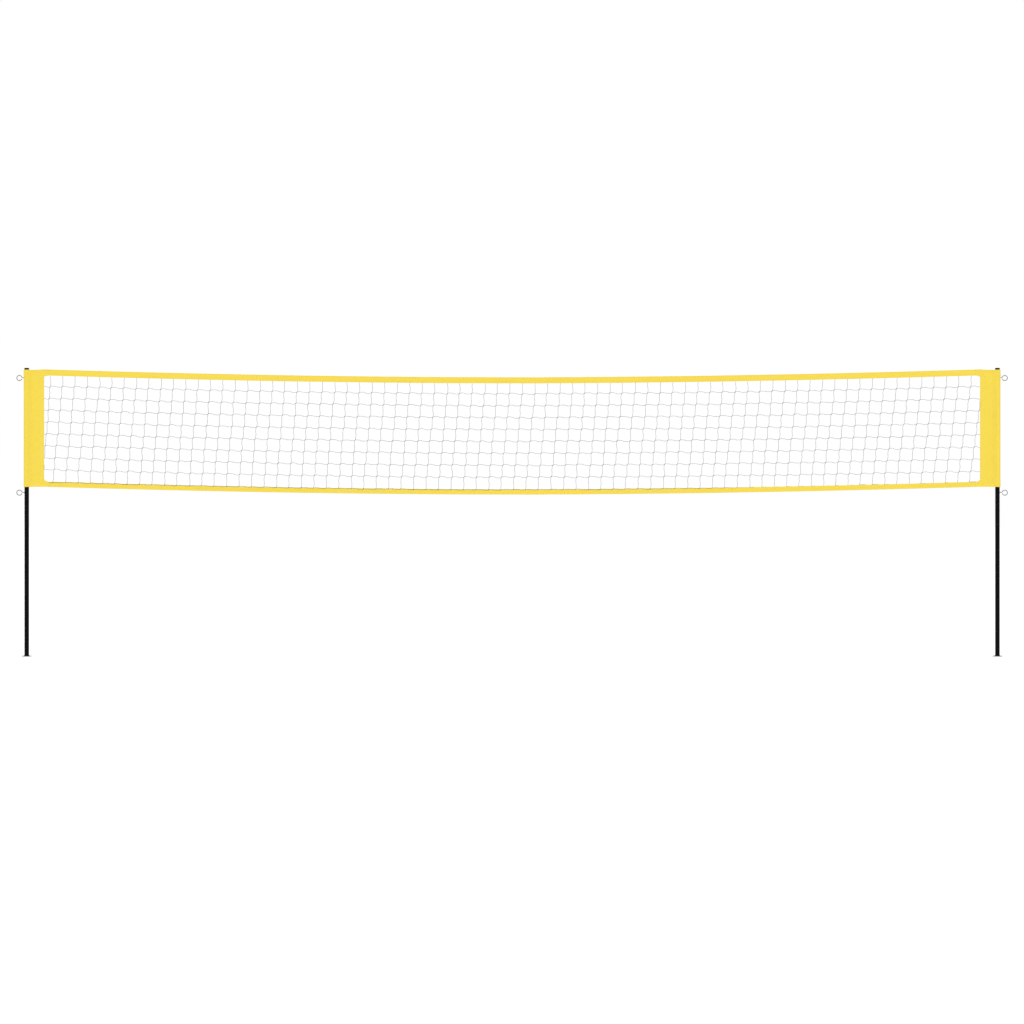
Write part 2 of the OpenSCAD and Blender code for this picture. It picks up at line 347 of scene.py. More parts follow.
def copies(model: Object, places: np.ndarray, turns: np.ndarray) -> Object:
    """Copies one small shape to many places as one mesh, and removes the shape itself.

    Args:
        model: The shape, at the origin.
        places: Where each copy goes, shaped (n, 3).
        turns: Each copy's axes as the columns of a matrix, shaped (n, 3, 3).

    Returns:
        One mesh that holds all the copies.
    """
    count = len(model.data.vertices)
    points = np.zeros(count * 3)
    model.data.vertices.foreach_get("co", points)
    spread = np.einsum("nij,vj->nvi", turns, points.reshape(-1, 3)) + places[:, None, :]
    shape = [list(face.vertices) for face in model.data.polygons]
    faces = [[i + k * count for i in face] for k in range(len(places)) for face in shape]
    mesh = bpy.data.meshes.new("copies")
    mesh.from_pydata(spread.reshape(-1, 3), [], faces)
    piece = in_scene(mesh)
    bpy.data.objects.remove(model)
    return piece


# ---- Numbers along a path or over a surface ----


def distances(path: np.ndarray) -> np.ndarray:
    """The distance of each point of a path from its start, along the path."""
    return np.concatenate([[0], np.cumsum(np.linalg.norm(np.diff(path, axis=0), axis=1))])


def sample(at: np.ndarray, run: np.ndarray, values: np.ndarray) -> np.ndarray:
    """Finds values, such as places, at any distances along a path.

    Args:
        at: The distances that are asked for.
        run: The distances where the values are known.
        values: The known values, shaped (n, k).

    Returns:
        The values at the distances asked for, shaped (m, k).
    """
    return np.column_stack([np.interp(at, run, column) for column in values.T])


def heading(at: np.ndarray, run: np.ndarray, path: np.ndarray) -> np.ndarray:
    """The unit direction of a path at distances along it.

    Args:
        at: The distances that are asked for.
        run: The distance of each point of the path.
        path: The path's points, shaped (n, k).

    Returns:
        The directions, shaped (m, k).
    """
    ahead = sample(at + MM, run, path) - sample(at - MM, run, path)
    return ahead / np.linalg.norm(ahead, axis=1)[:, None]


@dataclass(frozen=True)
class SoftWaves:
    """Smooth seeded unevenness over a surface, as a sum of sine waves between about -1 and 1."""

    seed: int
    longest: float
    shortest: float
    count: int = 9

    def at(self, a: np.ndarray, b: np.ndarray) -> np.ndarray:
        """The unevenness at points of the surface.

        Args:
            a: The points' first coordinate.
            b: The points' second coordinate.

        Returns:
            The unevenness of each point.
        """
        dice = random.Random(self.seed)
        total = np.zeros(np.broadcast(a, b).shape)
        for _ in range(self.count):
            wavelength = self.longest * (self.shortest / self.longest) ** dice.random()
            turn = dice.uniform(0, math.tau)
            phase = dice.uniform(0, math.tau)
            along = a * math.cos(turn) + b * math.sin(turn)
            total = total + np.sin(math.tau * along / wavelength + phase)
        return total / math.sqrt(self.count)


def smooth_step(value: np.ndarray, start: float, end: float) -> np.ndarray:
    """Rises smoothly from 0 at start to 1 at end.

    Args:
        value: The values to look at.
        start: Where the rise starts.
        end: Where it ends.

    Returns:
        The height of the rise at each value.
    """
    share = np.clip((value - start) / (end - start), 0, 1)
    return share * share * (3 - 2 * share)


# ---- Shader tools ----


class NodeSheet:
    """Adds and links the nodes of one shader tree."""

    def __init__(self, tree: ShaderNodeTree) -> None:
        """Keeps the tree that the nodes go to."""
        self.tree = tree

    def feed(self, socket: NodeSocket, value: object) -> None:
        """Links a socket to an output, or sets its value.

        Args:
            socket: The socket to feed.
            value: An output socket, or a plain value.
        """
        if isinstance(value, NodeSocket):
            self.tree.links.new(value, socket)
        else:
            socket.default_value = value

    def add(self, kind: str, feeds: dict[str | int, object] | None = None, **settings: object) -> Node:
        """Adds a node.

        Args:
            kind: The node's type without the word ShaderNode.
            feeds: What each input gets, by the input's name or number.
            settings: The node's own settings.

        Returns:
            The new node.
        """
        node = self.tree.nodes.new(f"ShaderNode{kind}")
        for name, value in settings.items():
            setattr(node, name, value)
        for name, value in (feeds or {}).items():
            self.feed(node.inputs[name], value)
        return node

    def math(self, operation: str, *values: object) -> NodeSocket:
        """Adds a Math node and gives its output."""
        return self.add("Math", dict(enumerate(values)), operation=operation).outputs[0]

    def blend(self, share: object, first: object, second: object) -> NodeSocket:
        """Mixes two colours by a share and gives the result."""
        return self.add("Mix", {0: share, 6: first, 7: second}, data_type="RGBA").outputs[2]

    def noise(self, vector: object, scale: object, detail: float = 3.0) -> NodeSocket:
        """Adds a noise texture and gives its value."""
        return self.add("TexNoise", {"Vector": vector, "Scale": scale, "Detail": detail}).outputs[0]

    def ramp(self, value: object, low: float, high: float, start: float = 0.0,
             end: float = 1.0) -> NodeSocket:
        """Turns the range from low to high into the range from start to end, and clips it there."""
        feeds = {"Value": value, "From Min": low, "From Max": high, "To Min": start, "To Max": end}
        return self.add("MapRange", feeds).outputs[0]

    def object_place(self) -> NodeSocket:
        """The point's place in the object, which is its place in the scene at rest."""
        return self.add("TexCoord").outputs["Object"]

    def cloth_place(self) -> NodeSocket:
        """The point's place on the flat cloth, in metres."""
        return self.add("UVMap", uv_map=UV_LAYER).outputs[0]


# ---- Shared effects ----


Given = dict[str, NodeSocket]


@dataclass(frozen=True)
class Effect:
    """A shared effect, which is built once as a node group and placed in any material."""

    name: str
    result: str
    inputs: dict[str, str]
    draw: Callable[[NodeSheet, Given], NodeSocket]

    def tree(self) -> ShaderNodeTree:
        """Builds the node group, or gives the one that was built before.

        Returns:
            The group.
        """
        tree = bpy.data.node_groups.get(self.name)
        if tree is not None:
            return tree
        tree = bpy.data.node_groups.new(self.name, "ShaderNodeTree")
        for label, kind in self.inputs.items():
            tree.interface.new_socket(label, in_out="INPUT", socket_type=f"NodeSocket{kind}")
        tree.interface.new_socket("result", in_out="OUTPUT", socket_type=f"NodeSocket{self.result}")
        source = tree.nodes.new("NodeGroupInput")
        sink = tree.nodes.new("NodeGroupOutput")
        sheet = NodeSheet(tree)
        drawn = self.draw(sheet, {label: source.outputs[label] for label in self.inputs})
        sheet.feed(sink.inputs["result"], drawn)
        return tree

    def place(self, sheet: NodeSheet, **feeds: object) -> NodeSocket:
        """Places the effect on a material's sheet and gives its result."""
        return sheet.add("Group", feeds, node_tree=self.tree()).outputs[0]


def draw_drift(sheet: NodeSheet, given: Given) -> NodeSocket:
    """Draws a colour that grows a little lighter and darker over the surface.

    Args:
        sheet: The effect's nodes.
        given: What the effect's inputs hold.

    Returns:
        The colour.
    """
    swing = sheet.math("SUBTRACT", sheet.noise(given["at"], given["scale"], 4.0), 0.5)
    value = sheet.math("ADD", sheet.math("MULTIPLY", swing, given["depth"]), 1.0)
    return sheet.add("HueSaturation", {"Value": value, "Color": given["colour"]}).outputs[0]


def draw_weave(sheet: NodeSheet, given: Given) -> NodeSocket:
    """Draws threads that pass over and under each other, from a place on the flat cloth.

    Args:
        sheet: The effect's nodes.
        given: What the effect's inputs hold.

    Returns:
        The height of the threads, from 0 to 1.
    """
    parts = sheet.add("SeparateXYZ", {0: given["at"]})
    counts = [sheet.math("DIVIDE", parts.outputs[i], given["pitch"]) for i in range(2)]
    arches = [sheet.math("ABSOLUTE", sheet.math("SINE", sheet.math("MULTIPLY", count, math.pi)))
              for count in counts]
    over = sheet.math("PINGPONG", sheet.math("ADD", *(sheet.math("FLOOR", count) for count in counts)), 1.0)
    warp, weft = (sheet.math("MULTIPLY", sheet.math("POWER", crown, 0.9), sheet.math("POWER", side, 0.3))
                  for crown, side in (arches, arches[::-1]))
    return sheet.add("Mix", {0: over, 2: warp, 3: weft}, data_type="FLOAT").outputs[0]


def draw_scuffs(sheet: NodeSheet, given: Given) -> NodeSocket:
    """Draws fine rubbed lines that run mostly one way.

    Args:
        sheet: The effect's nodes.
        given: What the effect's inputs hold.

    Returns:
        How much the surface is rubbed, from 0 to 1.
    """
    drawn = sheet.add("VectorMath", {0: given["at"], 1: given["stretch"]}, operation="MULTIPLY")
    cut = sheet.ramp(sheet.noise(drawn.outputs[0], 1.0, 2.0), 0.60, 0.72)
    near = sheet.ramp(sheet.noise(given["at"], 9.0), 0.45, 0.65)
    return sheet.math("MULTIPLY", sheet.math("MULTIPLY", cut, near), given["amount"])


def draw_ring(sheet: NodeSheet, given: Given) -> NodeSocket:
    """Draws a finish rubbed away in a ring at one height.

    Args:
        sheet: The effect's nodes.
        given: What the effect's inputs hold.

    Returns:
        How much the surface is rubbed, from 0 to 1.
    """
    height = sheet.add("SeparateXYZ", {0: given["at"]}).outputs[2]
    away = sheet.math("ABSOLUTE", sheet.math("SUBTRACT", height, given["height"]))
    near = sheet.math("SUBTRACT", 1.0, sheet.math("DIVIDE", away, given["reach"]))
    patchy = sheet.math("MULTIPLY", sheet.noise(given["at"], 260.0), 1.1)
    return sheet.ramp(sheet.math("ADD", near, patchy), 1.25, 1.6)


TONE_DRIFT = Effect("tone drift", "Color", {"at": "Vector", "colour": "Color", "scale": "Float",
                                            "depth": "Float"}, draw_drift)
PLAIN_WEAVE = Effect("plain weave", "Float", {"at": "Vector", "pitch": "Float"}, draw_weave)
SCUFFS = Effect("scuffs", "Float", {"at": "Vector", "stretch": "Vector", "amount": "Float"}, draw_scuffs)
RUBBED_RING = Effect("rubbed ring", "Float", {"at": "Vector", "height": "Float", "reach": "Float"}, draw_ring)


# ---- Finishes ----


@dataclass(frozen=True)
class Finish:
    """A material with its plain values, which its own kind completes with nodes."""

    name: str
    colour: Colour
    roughness: float

    def sockets(self) -> dict[str, object]:
        """The shader's own values that are the same all over the surface."""
        return {"Roughness": self.roughness}

    def draw(self, sheet: NodeSheet, shader: Node) -> None:
        """Draws the nodes that feed the shader."""
        raise NotImplementedError

    def paint(self, shares: Colour = (1.0, 1.0, 1.0)) -> Paint:
        """The colour with its fourth value, after each of its parts is multiplied by a share."""
        return (*(value * share for value, share in zip(self.colour, shares)), 1.0)

    def drifting(self, sheet: NodeSheet, scale: float, depth: float) -> NodeSocket:
        """The colour as it grows lighter and darker over the surface."""
        return TONE_DRIFT.place(sheet, at=sheet.object_place(), colour=self.paint(), scale=scale, depth=depth)

    def build(self) -> Material:
        """Makes the material, or gives the one that was made before.

        Returns:
            The material.
        """
        made = bpy.data.materials.get(self.name)
        if made is not None:
            return made
        material = bpy.data.materials.new(self.name)
        material.use_nodes = True
        material.diffuse_color = self.paint()
        sheet = NodeSheet(material.node_tree)
        shader = material.node_tree.nodes["Principled BSDF"]
        for name, value in self.sockets().items():
            sheet.feed(shader.inputs[name], value)
        self.draw(sheet, shader)
        return material

    def roughen(self, sheet: NodeSheet, shader: Node, patches: NodeSocket, less: float, more: float) -> None:
        """Lets the roughness drift from patch to patch.

        Args:
            sheet: The material's nodes.
            shader: The shader that gets the roughness.
            patches: The noise that sets the patches.
            less: How far the roughness goes below its plain value.
            more: How far it goes above it.
        """
        drift = sheet.ramp(patches, 0.3, 0.7, self.roughness - less, self.roughness + more)
        sheet.feed(shader.inputs["Roughness"], drift)

    def bump(self, sheet: NodeSheet, shader: Node, height: NodeSocket, strength: float,
             distance: float) -> None:
        """Turns a height into the shader's normal.

        Args:
            sheet: The material's nodes.
            shader: The shader that gets the normal.
            height: The height, from 0 to 1.
            strength: How strongly it shows.
            distance: The real height of 1, in metres.
        """
        node = sheet.add("Bump", {"Height": height, "Strength": strength, "Distance": distance})
        sheet.feed(shader.inputs["Normal"], node.outputs[0])


@dataclass(frozen=True)
class WovenCloth(Finish):
    """Matt woven polyester."""

    pitch: float = 0.85 * MM
    drift: float = 0.07
    slub_drift: float = 0.10
    slub_stretch: tuple[float, float, float] = (700.0, 18.0, 1.0)
    gap_shade_shares: Colour = (0.6, 0.6, 0.6)
    dust: Paint = (0.80, 0.72, 0.42, 1.0)

    def sockets(self) -> dict[str, object]:
        """Cloth scatters light at its threads' edges and has little gloss."""
        return {"Roughness": self.roughness, "Specular IOR Level": 0.15, "Sheen Weight": 0.08,
                "Sheen Roughness": 0.5}

    def draw(self, sheet: NodeSheet, shader: Node) -> None:
        """Draws the weave with painted shade in the gaps between threads, its uneven dye and a little dust.

        Args:
            sheet: The material's nodes.
            shader: The shader that gets them.
        """
        flat = sheet.cloth_place()
        slubs = sheet.add("VectorMath", {0: flat, 1: self.slub_stretch}, operation="MULTIPLY")
        yarn = TONE_DRIFT.place(sheet, at=slubs.outputs[0], colour=self.drifting(sheet, 4.0, self.drift),
                                scale=1.0, depth=self.slub_drift)
        weave = PLAIN_WEAVE.place(sheet, at=flat, pitch=self.pitch)
        # Painted shade: where the weave is low, between the threads, the colour darkens towards a darker copy
        # of the cloth's own.
        gap_shade = sheet.ramp(weave, 0.0, 0.45, 0.16, 0.0)
        dusty = sheet.ramp(sheet.noise(sheet.object_place(), 14.0, 5.0), 0.55, 0.85, 0.0, 0.10)
        colour = sheet.blend(dusty, sheet.blend(gap_shade, yarn, self.paint(self.gap_shade_shares)), self.dust)
        sheet.feed(shader.inputs["Base Color"], colour)
        self.bump(sheet, shader, weave, 0.5, 0.12 * MM)


@dataclass(frozen=True)
class SewingThread(Finish):
    """Twisted polyester sewing thread."""

    def sockets(self) -> dict[str, object]:
        """Thread is a little glossier than cloth."""
        return {"Roughness": self.roughness, "Specular IOR Level": 0.35, "Sheen Weight": 0.1}

    def draw(self, sheet: NodeSheet, shader: Node) -> None:
        """Draws the thread's twist and its uneven dye."""
        sheet.feed(shader.inputs["Base Color"], self.drifting(sheet, 180.0, 0.25))
        self.bump(sheet, shader, sheet.noise(sheet.object_place(), 4000.0, 1.0), 0.4, 0.06 * MM)


@dataclass(frozen=True)
class Twine(Finish):
    """Twisted cord with ribs that run slantwise round it."""

    rib: float = 1.1 * MM
    crest_fuzz_and_highlight: Colour = (0.06, 0.06, 0.065)

    def sockets(self) -> dict[str, object]:
        """Cord has a soft gloss."""
        return {"Roughness": self.roughness, "Specular IOR Level": 0.2}

    def draw(self, sheet: NodeSheet, shader: Node) -> None:
        """Draws the cord's strands, whose crests are painted lighter in patches: partly the fibres that stand
        off them, partly a painted highlight.

        Args:
            sheet: The material's nodes.
            shader: The shader that gets them.
        """
        place = sheet.object_place()
        parts = sheet.add("SeparateXYZ", {0: place})
        slant = sheet.math("ADD", parts.outputs[0], parts.outputs[2])
        turn = sheet.math("MULTIPLY", slant, math.tau / self.rib)
        strand = sheet.ramp(sheet.math("SINE", turn), -1.0, 1.0)
        # Painted highlight and fuzz: the strands' crests are lighter in patches.
        lit = sheet.math("MULTIPLY", strand, sheet.ramp(sheet.noise(place, 1500.0), 0.45, 0.75))
        sheet.feed(shader.inputs["Base Color"], sheet.blend(lit, self.paint(), (*self.crest_fuzz_and_highlight, 1.0)))
        self.bump(sheet, shader, strand, 0.5, 0.2 * MM)


@dataclass(frozen=True)
class PowderCoat(Finish):
    """Black powder coat on steel tube, rubbed at its joints."""

    rings: tuple[float, ...] = ()
    ring_reach: float = 5.0 * MM
    bare: Paint = (0.040, 0.040, 0.042, 1.0)

    def sockets(self) -> dict[str, object]:
        """The coat's gloss is the same all over."""
        return {"Specular IOR Level": 0.045}

    def draw(self, sheet: NodeSheet, shader: Node) -> None:
        """Draws the coat's orange peel, its scuffs and the rubbed rings.

        Args:
            sheet: The material's nodes.
            shader: The shader that gets them.
        """
        place = sheet.object_place()
        worn = SCUFFS.place(sheet, at=place, stretch=(900.0, 900.0, 35.0), amount=0.35)
        for height in self.rings:
            ring = RUBBED_RING.place(sheet, at=place, height=height, reach=self.ring_reach)
            worn = sheet.math("MAXIMUM", worn, ring)
        sheet.feed(shader.inputs["Base Color"], sheet.blend(worn, self.drifting(sheet, 12.0, 0.5), self.bare))
        self.roughen(sheet, shader, sheet.noise(place, 25.0), 0.06, 0.08)
        self.bump(sheet, shader, sheet.noise(place, 620.0, 2.0), 0.35, 0.08 * MM)


@dataclass(frozen=True)
class MouldedPlastic(Finish):
    """Moulded black polyethylene with a fine spark-eroded grain."""

    scuffed: Paint = (0.10, 0.10, 0.10, 1.0)

    def sockets(self) -> dict[str, object]:
        """The plastic's gloss is the same all over."""
        return {"Specular IOR Level": 0.08}

    def draw(self, sheet: NodeSheet, shader: Node) -> None:
        """Draws the grain and the pale scuffs of handling.

        Args:
            sheet: The material's nodes.
            shader: The shader that gets them.
        """
        place = sheet.object_place()
        lines = SCUFFS.place(sheet, at=place, stretch=(300.0, 300.0, 900.0), amount=0.5)
        colour = sheet.blend(lines, self.drifting(sheet, 60.0, 0.5), self.scuffed)
        sheet.feed(shader.inputs["Base Color"], colour)
        self.roughen(sheet, shader, sheet.noise(place, 90.0, 2.0), 0.08, 0.08)
        self.bump(sheet, shader, sheet.noise(place, 1800.0, 2.0), 0.3, 0.05 * MM)


@dataclass(frozen=True)
class ZincPlate(Finish):
    """Zinc-plated steel with a faint blue and straw bloom, darker over any stem next to a pole."""

    stretch: tuple[float, float, float] = (500.0, 500.0, 60.0)
    dark_stem_reach: float = 0.0
    blue_shares: Colour = (0.90, 0.97, 1.06)
    straw_shares: Colour = (1.04, 1.0, 0.88)
    dull_shares: Colour = (0.55, 0.55, 0.55)
    dark_stem_colour: Paint = (0.02, 0.02, 0.018, 1.0)

    def sockets(self) -> dict[str, object]:
        """The plate is metal all over."""
        return {"Metallic": 1.0}

    def draw(self, sheet: NodeSheet, shader: Node) -> None:
        """Draws the bloom, the dull patches, fine tool marks and the darker stem next to the pole.

        Args:
            sheet: The material's nodes.
            shader: The shader that gets them.
        """
        place = sheet.object_place()
        bloom = sheet.ramp(sheet.noise(place, 55.0), 0.35, 0.65)
        colour = sheet.blend(bloom, self.paint(self.blue_shares), self.paint(self.straw_shares))
        marks = SCUFFS.place(sheet, at=place, stretch=self.stretch, amount=0.6)
        colour = sheet.blend(marks, colour, self.paint(self.dull_shares))
        # The wire is darker inboard of a given distance along X, which covers the threaded stem next to the
        # pole.
        out = sheet.math("ABSOLUTE", sheet.add("SeparateXYZ", {0: place}).outputs[0])
        stem_darkening = sheet.ramp(out, self.dark_stem_reach, self.dark_stem_reach + MM, 0.75, 0.0)
        sheet.feed(shader.inputs["Base Color"], sheet.blend(stem_darkening, colour, self.dark_stem_colour))
        self.roughen(sheet, shader, sheet.noise(place, 120.0), 0.07, 0.1)
        self.bump(sheet, shader, marks, 0.25, 0.05 * MM)


CLOTH = WovenCloth("yellow polyester cloth", (0.93, 0.71, 0.083), 0.85)
THREAD = SewingThread("yellow sewing thread", (0.95, 0.76, 0.16), 0.5)
NET_TWINE = Twine("black net twine", (0.010, 0.010, 0.011), 0.65)
ROPE = Twine("white hem rope", (0.72, 0.71, 0.67), 0.7, rib=6.0 * MM, crest_fuzz_and_highlight=(0.85, 0.84, 0.80))
PLASTIC = MouldedPlastic("black moulded plastic", (0.005, 0.005, 0.0055), 0.5)
HOOK_STEEL = ZincPlate("bright plated hook wire", (0.12, 0.121, 0.125), 0.28, dark_stem_reach=4.116)
DISC_STEEL = ZincPlate("zinc plated steel", (0.11, 0.112, 0.116), 0.42, stretch=(90.0, 700.0, 90.0))


# ---- The net's outline ----


@dataclass(frozen=True)
class Outline:
    """Where the net's edges run between the sleeves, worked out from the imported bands."""

    half: float
    end_top: float
    end_bottom: float
    top_sag: float
    bottom_sag: float
    top_band: float = 51 * MM
    bottom_band: float = 43 * MM
    cloth: float = 0.8 * MM
    hang_power: float = 1.83
    billow_depth: float = 1.8 * MM
    billow_waves: SoftWaves = SoftWaves(11, 2.6, 0.45)
    billow_rise: float = 0.4
    billow_ends: tuple[float, float] = (0.02, 0.6)

    @classmethod
    def from_frame(cls) -> "Outline":
        """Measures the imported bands.

        Returns:
            The outline.
        """
        top_low, top_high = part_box("top_band")
        bottom_low, bottom_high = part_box("bottom_band")
        end_bottom = bottom_high.z - cls.bottom_band
        return cls(top_high.x, top_high.z, end_bottom, top_high.z - top_low.z - cls.top_band,
                   end_bottom - bottom_low.z)

    def hang(self, x: np.ndarray) -> np.ndarray:
        """The share of the sag at a place along the net, 0 at the sleeves and 1 in the middle."""
        return 1 - np.clip(np.abs(x / self.half), 0, 1) ** self.hang_power

    def edge(self, which: Edge, x: np.ndarray) -> np.ndarray:
        """Height of a band's outer edge.

        Args:
            which: The band.
            x: Places along the net.

        Returns:
            The heights.
        """
        if which is Edge.TOP:
            return self.end_top - self.top_sag * self.hang(x)
        return self.end_bottom - self.bottom_sag * self.hang(x)

    def band(self, which: Edge) -> float:
        """The height of a band from its outer edge to the mesh."""
        return self.top_band if which is Edge.TOP else self.bottom_band

    def opening(self, which: Edge, x: np.ndarray) -> np.ndarray:
        """Height of the band's edge where the mesh starts."""
        return self.edge(which, x) + which.value * self.band(which)

    def billow(self, x: np.ndarray, z: np.ndarray) -> np.ndarray:
        """How far cloth and cords stand out of the net's plane, which is nothing at the sleeves.

        Args:
            x: Places along the net.
            z: Heights.

        Returns:
            The distance of each point along Y.
        """
        free = smooth_step(self.half - np.abs(x), *self.billow_ends)
        return self.billow_depth * free * self.billow_waves.at(x, z * self.billow_rise)


# ---- Stitches ----


@dataclass
class Stitching:
    """Rows of lockstitch, gathered as places and then made as one piece."""

    length: float = 4.4 * MM
    pitch: float = 5.6 * MM
    width: float = 0.85 * MM
    height: float = 0.55 * MM
    proud: float = 0.2
    places: list[np.ndarray] = field(default_factory=list)
    turns: list[np.ndarray] = field(default_factory=list)

    def row(self, path: np.ndarray, outward: np.ndarray) -> None:
        """Lays a row of stitches along a path on a surface.

        Args:
            path: Closely spaced points of the path, shaped (n, 3).
            outward: The surface's outward direction at those points.
        """
        run = distances(path)
        count = max(1, int(run[-1] / self.pitch))
        at = (np.arange(count) + 0.5) * run[-1] / count
        ahead = heading(at, run, path)
        up = sample(at, run, outward)
        up -= ahead * np.sum(up * ahead, axis=1)[:, None]
        up /= np.linalg.norm(up, axis=1)[:, None]
        self.places.append(sample(at, run, path) + up * self.height * self.proud)
        self.turns.append(np.stack([np.cross(up, ahead), up, ahead], axis=2))

    def make(self, name: str) -> Object:
        """Makes all the rows as one piece.

        Args:
            name: The piece's name.

        Returns:
            The piece.
        """
        bpy.ops.object.select_all(action="DESELECT")
        bpy.ops.mesh.primitive_uv_sphere_add(segments=4, ring_count=3, radius=0.5)
        stitch = bpy.context.object
        stitch.scale = (self.width, self.height, self.length)
        settle(stitch, "stitch")
        return settle(copies(stitch, np.concatenate(self.places), np.concatenate(self.turns)), name, 80)


# ---- Bands ----


@dataclass
class Band:
    """A tape folded over a hem rope, with the mesh's edge sewn between its two legs."""

    outline: Outline
    which: Edge
    tuck: float = 18 * MM
    stations: int = 620
    fold: float = 3.0 * MM
    neck: float = 8.2 * MM
    fold_turn: float = 125.0
    leg_gap: float = 1.65 * MM
    rope_row: float = 10.5 * MM
    edge_row: float = 4.5 * MM
    puff_depth: float = 0.75 * MM
    puff_uneven: float = 0.6
    ripple_depth: float = 0.35 * MM
    lay_length: float = 32 * MM
    strand: float = 1.05 * MM

    @property
    def height(self) -> float:
        """The band's height."""
        return self.outline.band(self.which)

    def section(self) -> np.ndarray:
        """The tape's middle line across the band, from the end of its back leg to that of its front leg.

        Returns:
            For each point, its distance in front of the net's plane and from the band's edge.
        """
        centre = self.fold + self.outline.cloth / 2
        drops = np.concatenate([np.linspace(self.height, self.height - self.edge_row * 2, 5),
                                np.linspace(self.height - self.edge_row * 2, self.neck, 9)[1:]])
        leg = np.column_stack([np.full(len(drops), self.leg_gap), drops])
        turns = np.radians(np.linspace(-self.fold_turn, self.fold_turn, 17))
        arc = np.column_stack([self.fold * np.sin(turns), centre - self.fold * np.cos(turns)])
        back = leg * (-1, 1)
        return np.concatenate([back, arc, leg[::-1]])

    def puff(self, x: np.ndarray, drop: np.ndarray) -> np.ndarray:
        """How far a leg stands off between its two rows of stitches.

        Args:
            x: Places along the net.
            drop: Distances from the band's outer edge.

        Returns:
            The distance of each point.
        """
        share = np.clip((drop - self.rope_row) / (self.height - self.edge_row - self.rope_row), 0, 1)
        uneven = 1 + self.puff_uneven * SoftWaves(21 + self.which.value, 0.4, 0.05).at(x, drop)
        ends = smooth_step(self.outline.half - np.abs(x), 0.0, 50 * MM)
        return self.puff_depth * np.sin(math.pi * share) * uneven * ends

    def surface(self, x: np.ndarray, out: np.ndarray, drop: np.ndarray) -> np.ndarray:
        """Places on the band.

        Args:
            x: Places along the net.
            out: Distances in front of the net's plane.
            drop: Distances from the band's outer edge.

        Returns:
            The points, shaped (n, 3).
        """
        z = self.outline.edge(self.which, x) + self.which.value * drop
        ripple = self.ripple_depth * SoftWaves(31, 0.9, 0.12).at(x, x * 0) * self.outline.hang(x)
        y = out + np.sign(out) * self.puff(x, drop) + self.outline.billow(x, z)
        return np.column_stack([x, y, z + ripple])

    def tape(self) -> Object:
        """Folds the tape from a flat grid and gives it its thickness.

        Returns:
            The tape.
        """
        section = self.section()
        reach = self.outline.half + self.tuck
        along = np.linspace(-reach, reach, self.stations)
        width = distances(section)
        self.flat = (float(width[-1]), 2 * reach)
        cloth = cloth_grid(len(section), self.stations,
                           lambda i, j: self.surface(along[j], section[i, 0], section[i, 1]),
                           (width, along + reach))
        thicken(cloth, self.outline.cloth)
        return settle(cloth, f"{self.which.word}_band_tape", 60)

    def stitches(self) -> Object:
        """Sews the rows that close the fold and hold the mesh, on both faces.

        Returns:
            The stitches.
        """
        sewing = Stitching()
        x = np.arange(-self.outline.half + 3 * MM, self.outline.half - 3 * MM, 4 * MM)
        for face in (-1, 1):
            for drop in (self.rope_row, self.height - self.edge_row):
                out = np.full(len(x), face * (self.leg_gap + self.outline.cloth / 2))
                path = self.surface(x, out, np.full(len(x), drop))
                sewing.row(path, np.tile([0.0, face, 0.0], (len(x), 1)))
        return sewing.make(f"{self.which.word}_band_stitches")

    def rope(self) -> Object:
        """Lays the three strands of the hem rope in the fold.

        Returns:
            The rope.
        """
        x = np.linspace(-self.outline.half, self.outline.half, 2000)
        middle = self.surface(x, x * 0, np.full(len(x), self.outline.cloth / 2 + self.fold))
        paths = []
        for third in range(3):
            turn = math.tau * (x / self.lay_length + third / 3)
            paths.append(middle + self.strand * np.column_stack([x * 0, np.cos(turn), np.sin(turn)]))
        return settle(tubes(paths, self.strand, 0), f"{self.which.word}_hem_rope", 80)

    def build(self) -> None:
        """Makes the band's tape, stitches and rope."""
        word = self.which.word
        tape = dress(self.tape(), CLOTH.build(), "net_top", "yellow_fabric", f"{word}_band")
        thread = dress(self.stitches(), THREAD.build(), "net_top", "yellow_fabric")
        dress(self.rope(), ROPE.build(), "net_top", "rope", f"{word}_rope")


# ---- Sleeves ----


@dataclass(frozen=True)
class Corner:
    """A flap of the sleeve over a band's end, and the rounded corner that leads to it from the web."""

    flap: float
    height: float
    overlap: float

    def reach(self, into: np.ndarray) -> np.ndarray:
        """How far the flap reaches along the band, at distances from the band's edge into the opening."""
        share = np.clip((into - self.overlap) / self.height, 0, 1)
        return self.flap * (1 - np.sqrt(1 - (1 - share) ** 2))


@dataclass(frozen=True)
class Crease:
    """A straight crease in a sleeve's cloth, by its two ends, its width and its height."""

    run: float
    rise: float
    end_run: float
    end_rise: float
    wide: float
    high: float

    def ridge(self, run: np.ndarray, rise: np.ndarray) -> np.ndarray:
        """The height of the crease, which fades out towards its ends.

        Args:
            run: Distances along the cloth from the outer seam.
            rise: Heights above the sleeve's lower edge.

        Returns:
            The height at each point.
        """
        ahead = np.array([self.end_run - self.run, self.end_rise - self.rise])
        length = float(np.hypot(*ahead))
        along = ((run - self.run) * ahead[0] + (rise - self.rise) * ahead[1]) / length
        across = ((rise - self.rise) * ahead[0] - (run - self.run) * ahead[1]) / length
        fade = np.sin(math.pi * np.clip(along / length, 0, 1)) ** 2 * (along > 0) * (along < length)
        return self.high * np.exp(-((across / self.wide) ** 2)) * fade


FANNED_CREASES = ((0.030, 0.0, 0.165, 0.045), (0.045, 0.0, 0.170, 0.085), (0.050, 0.01, 0.150, 0.150))
SLACK_CREASES = 13

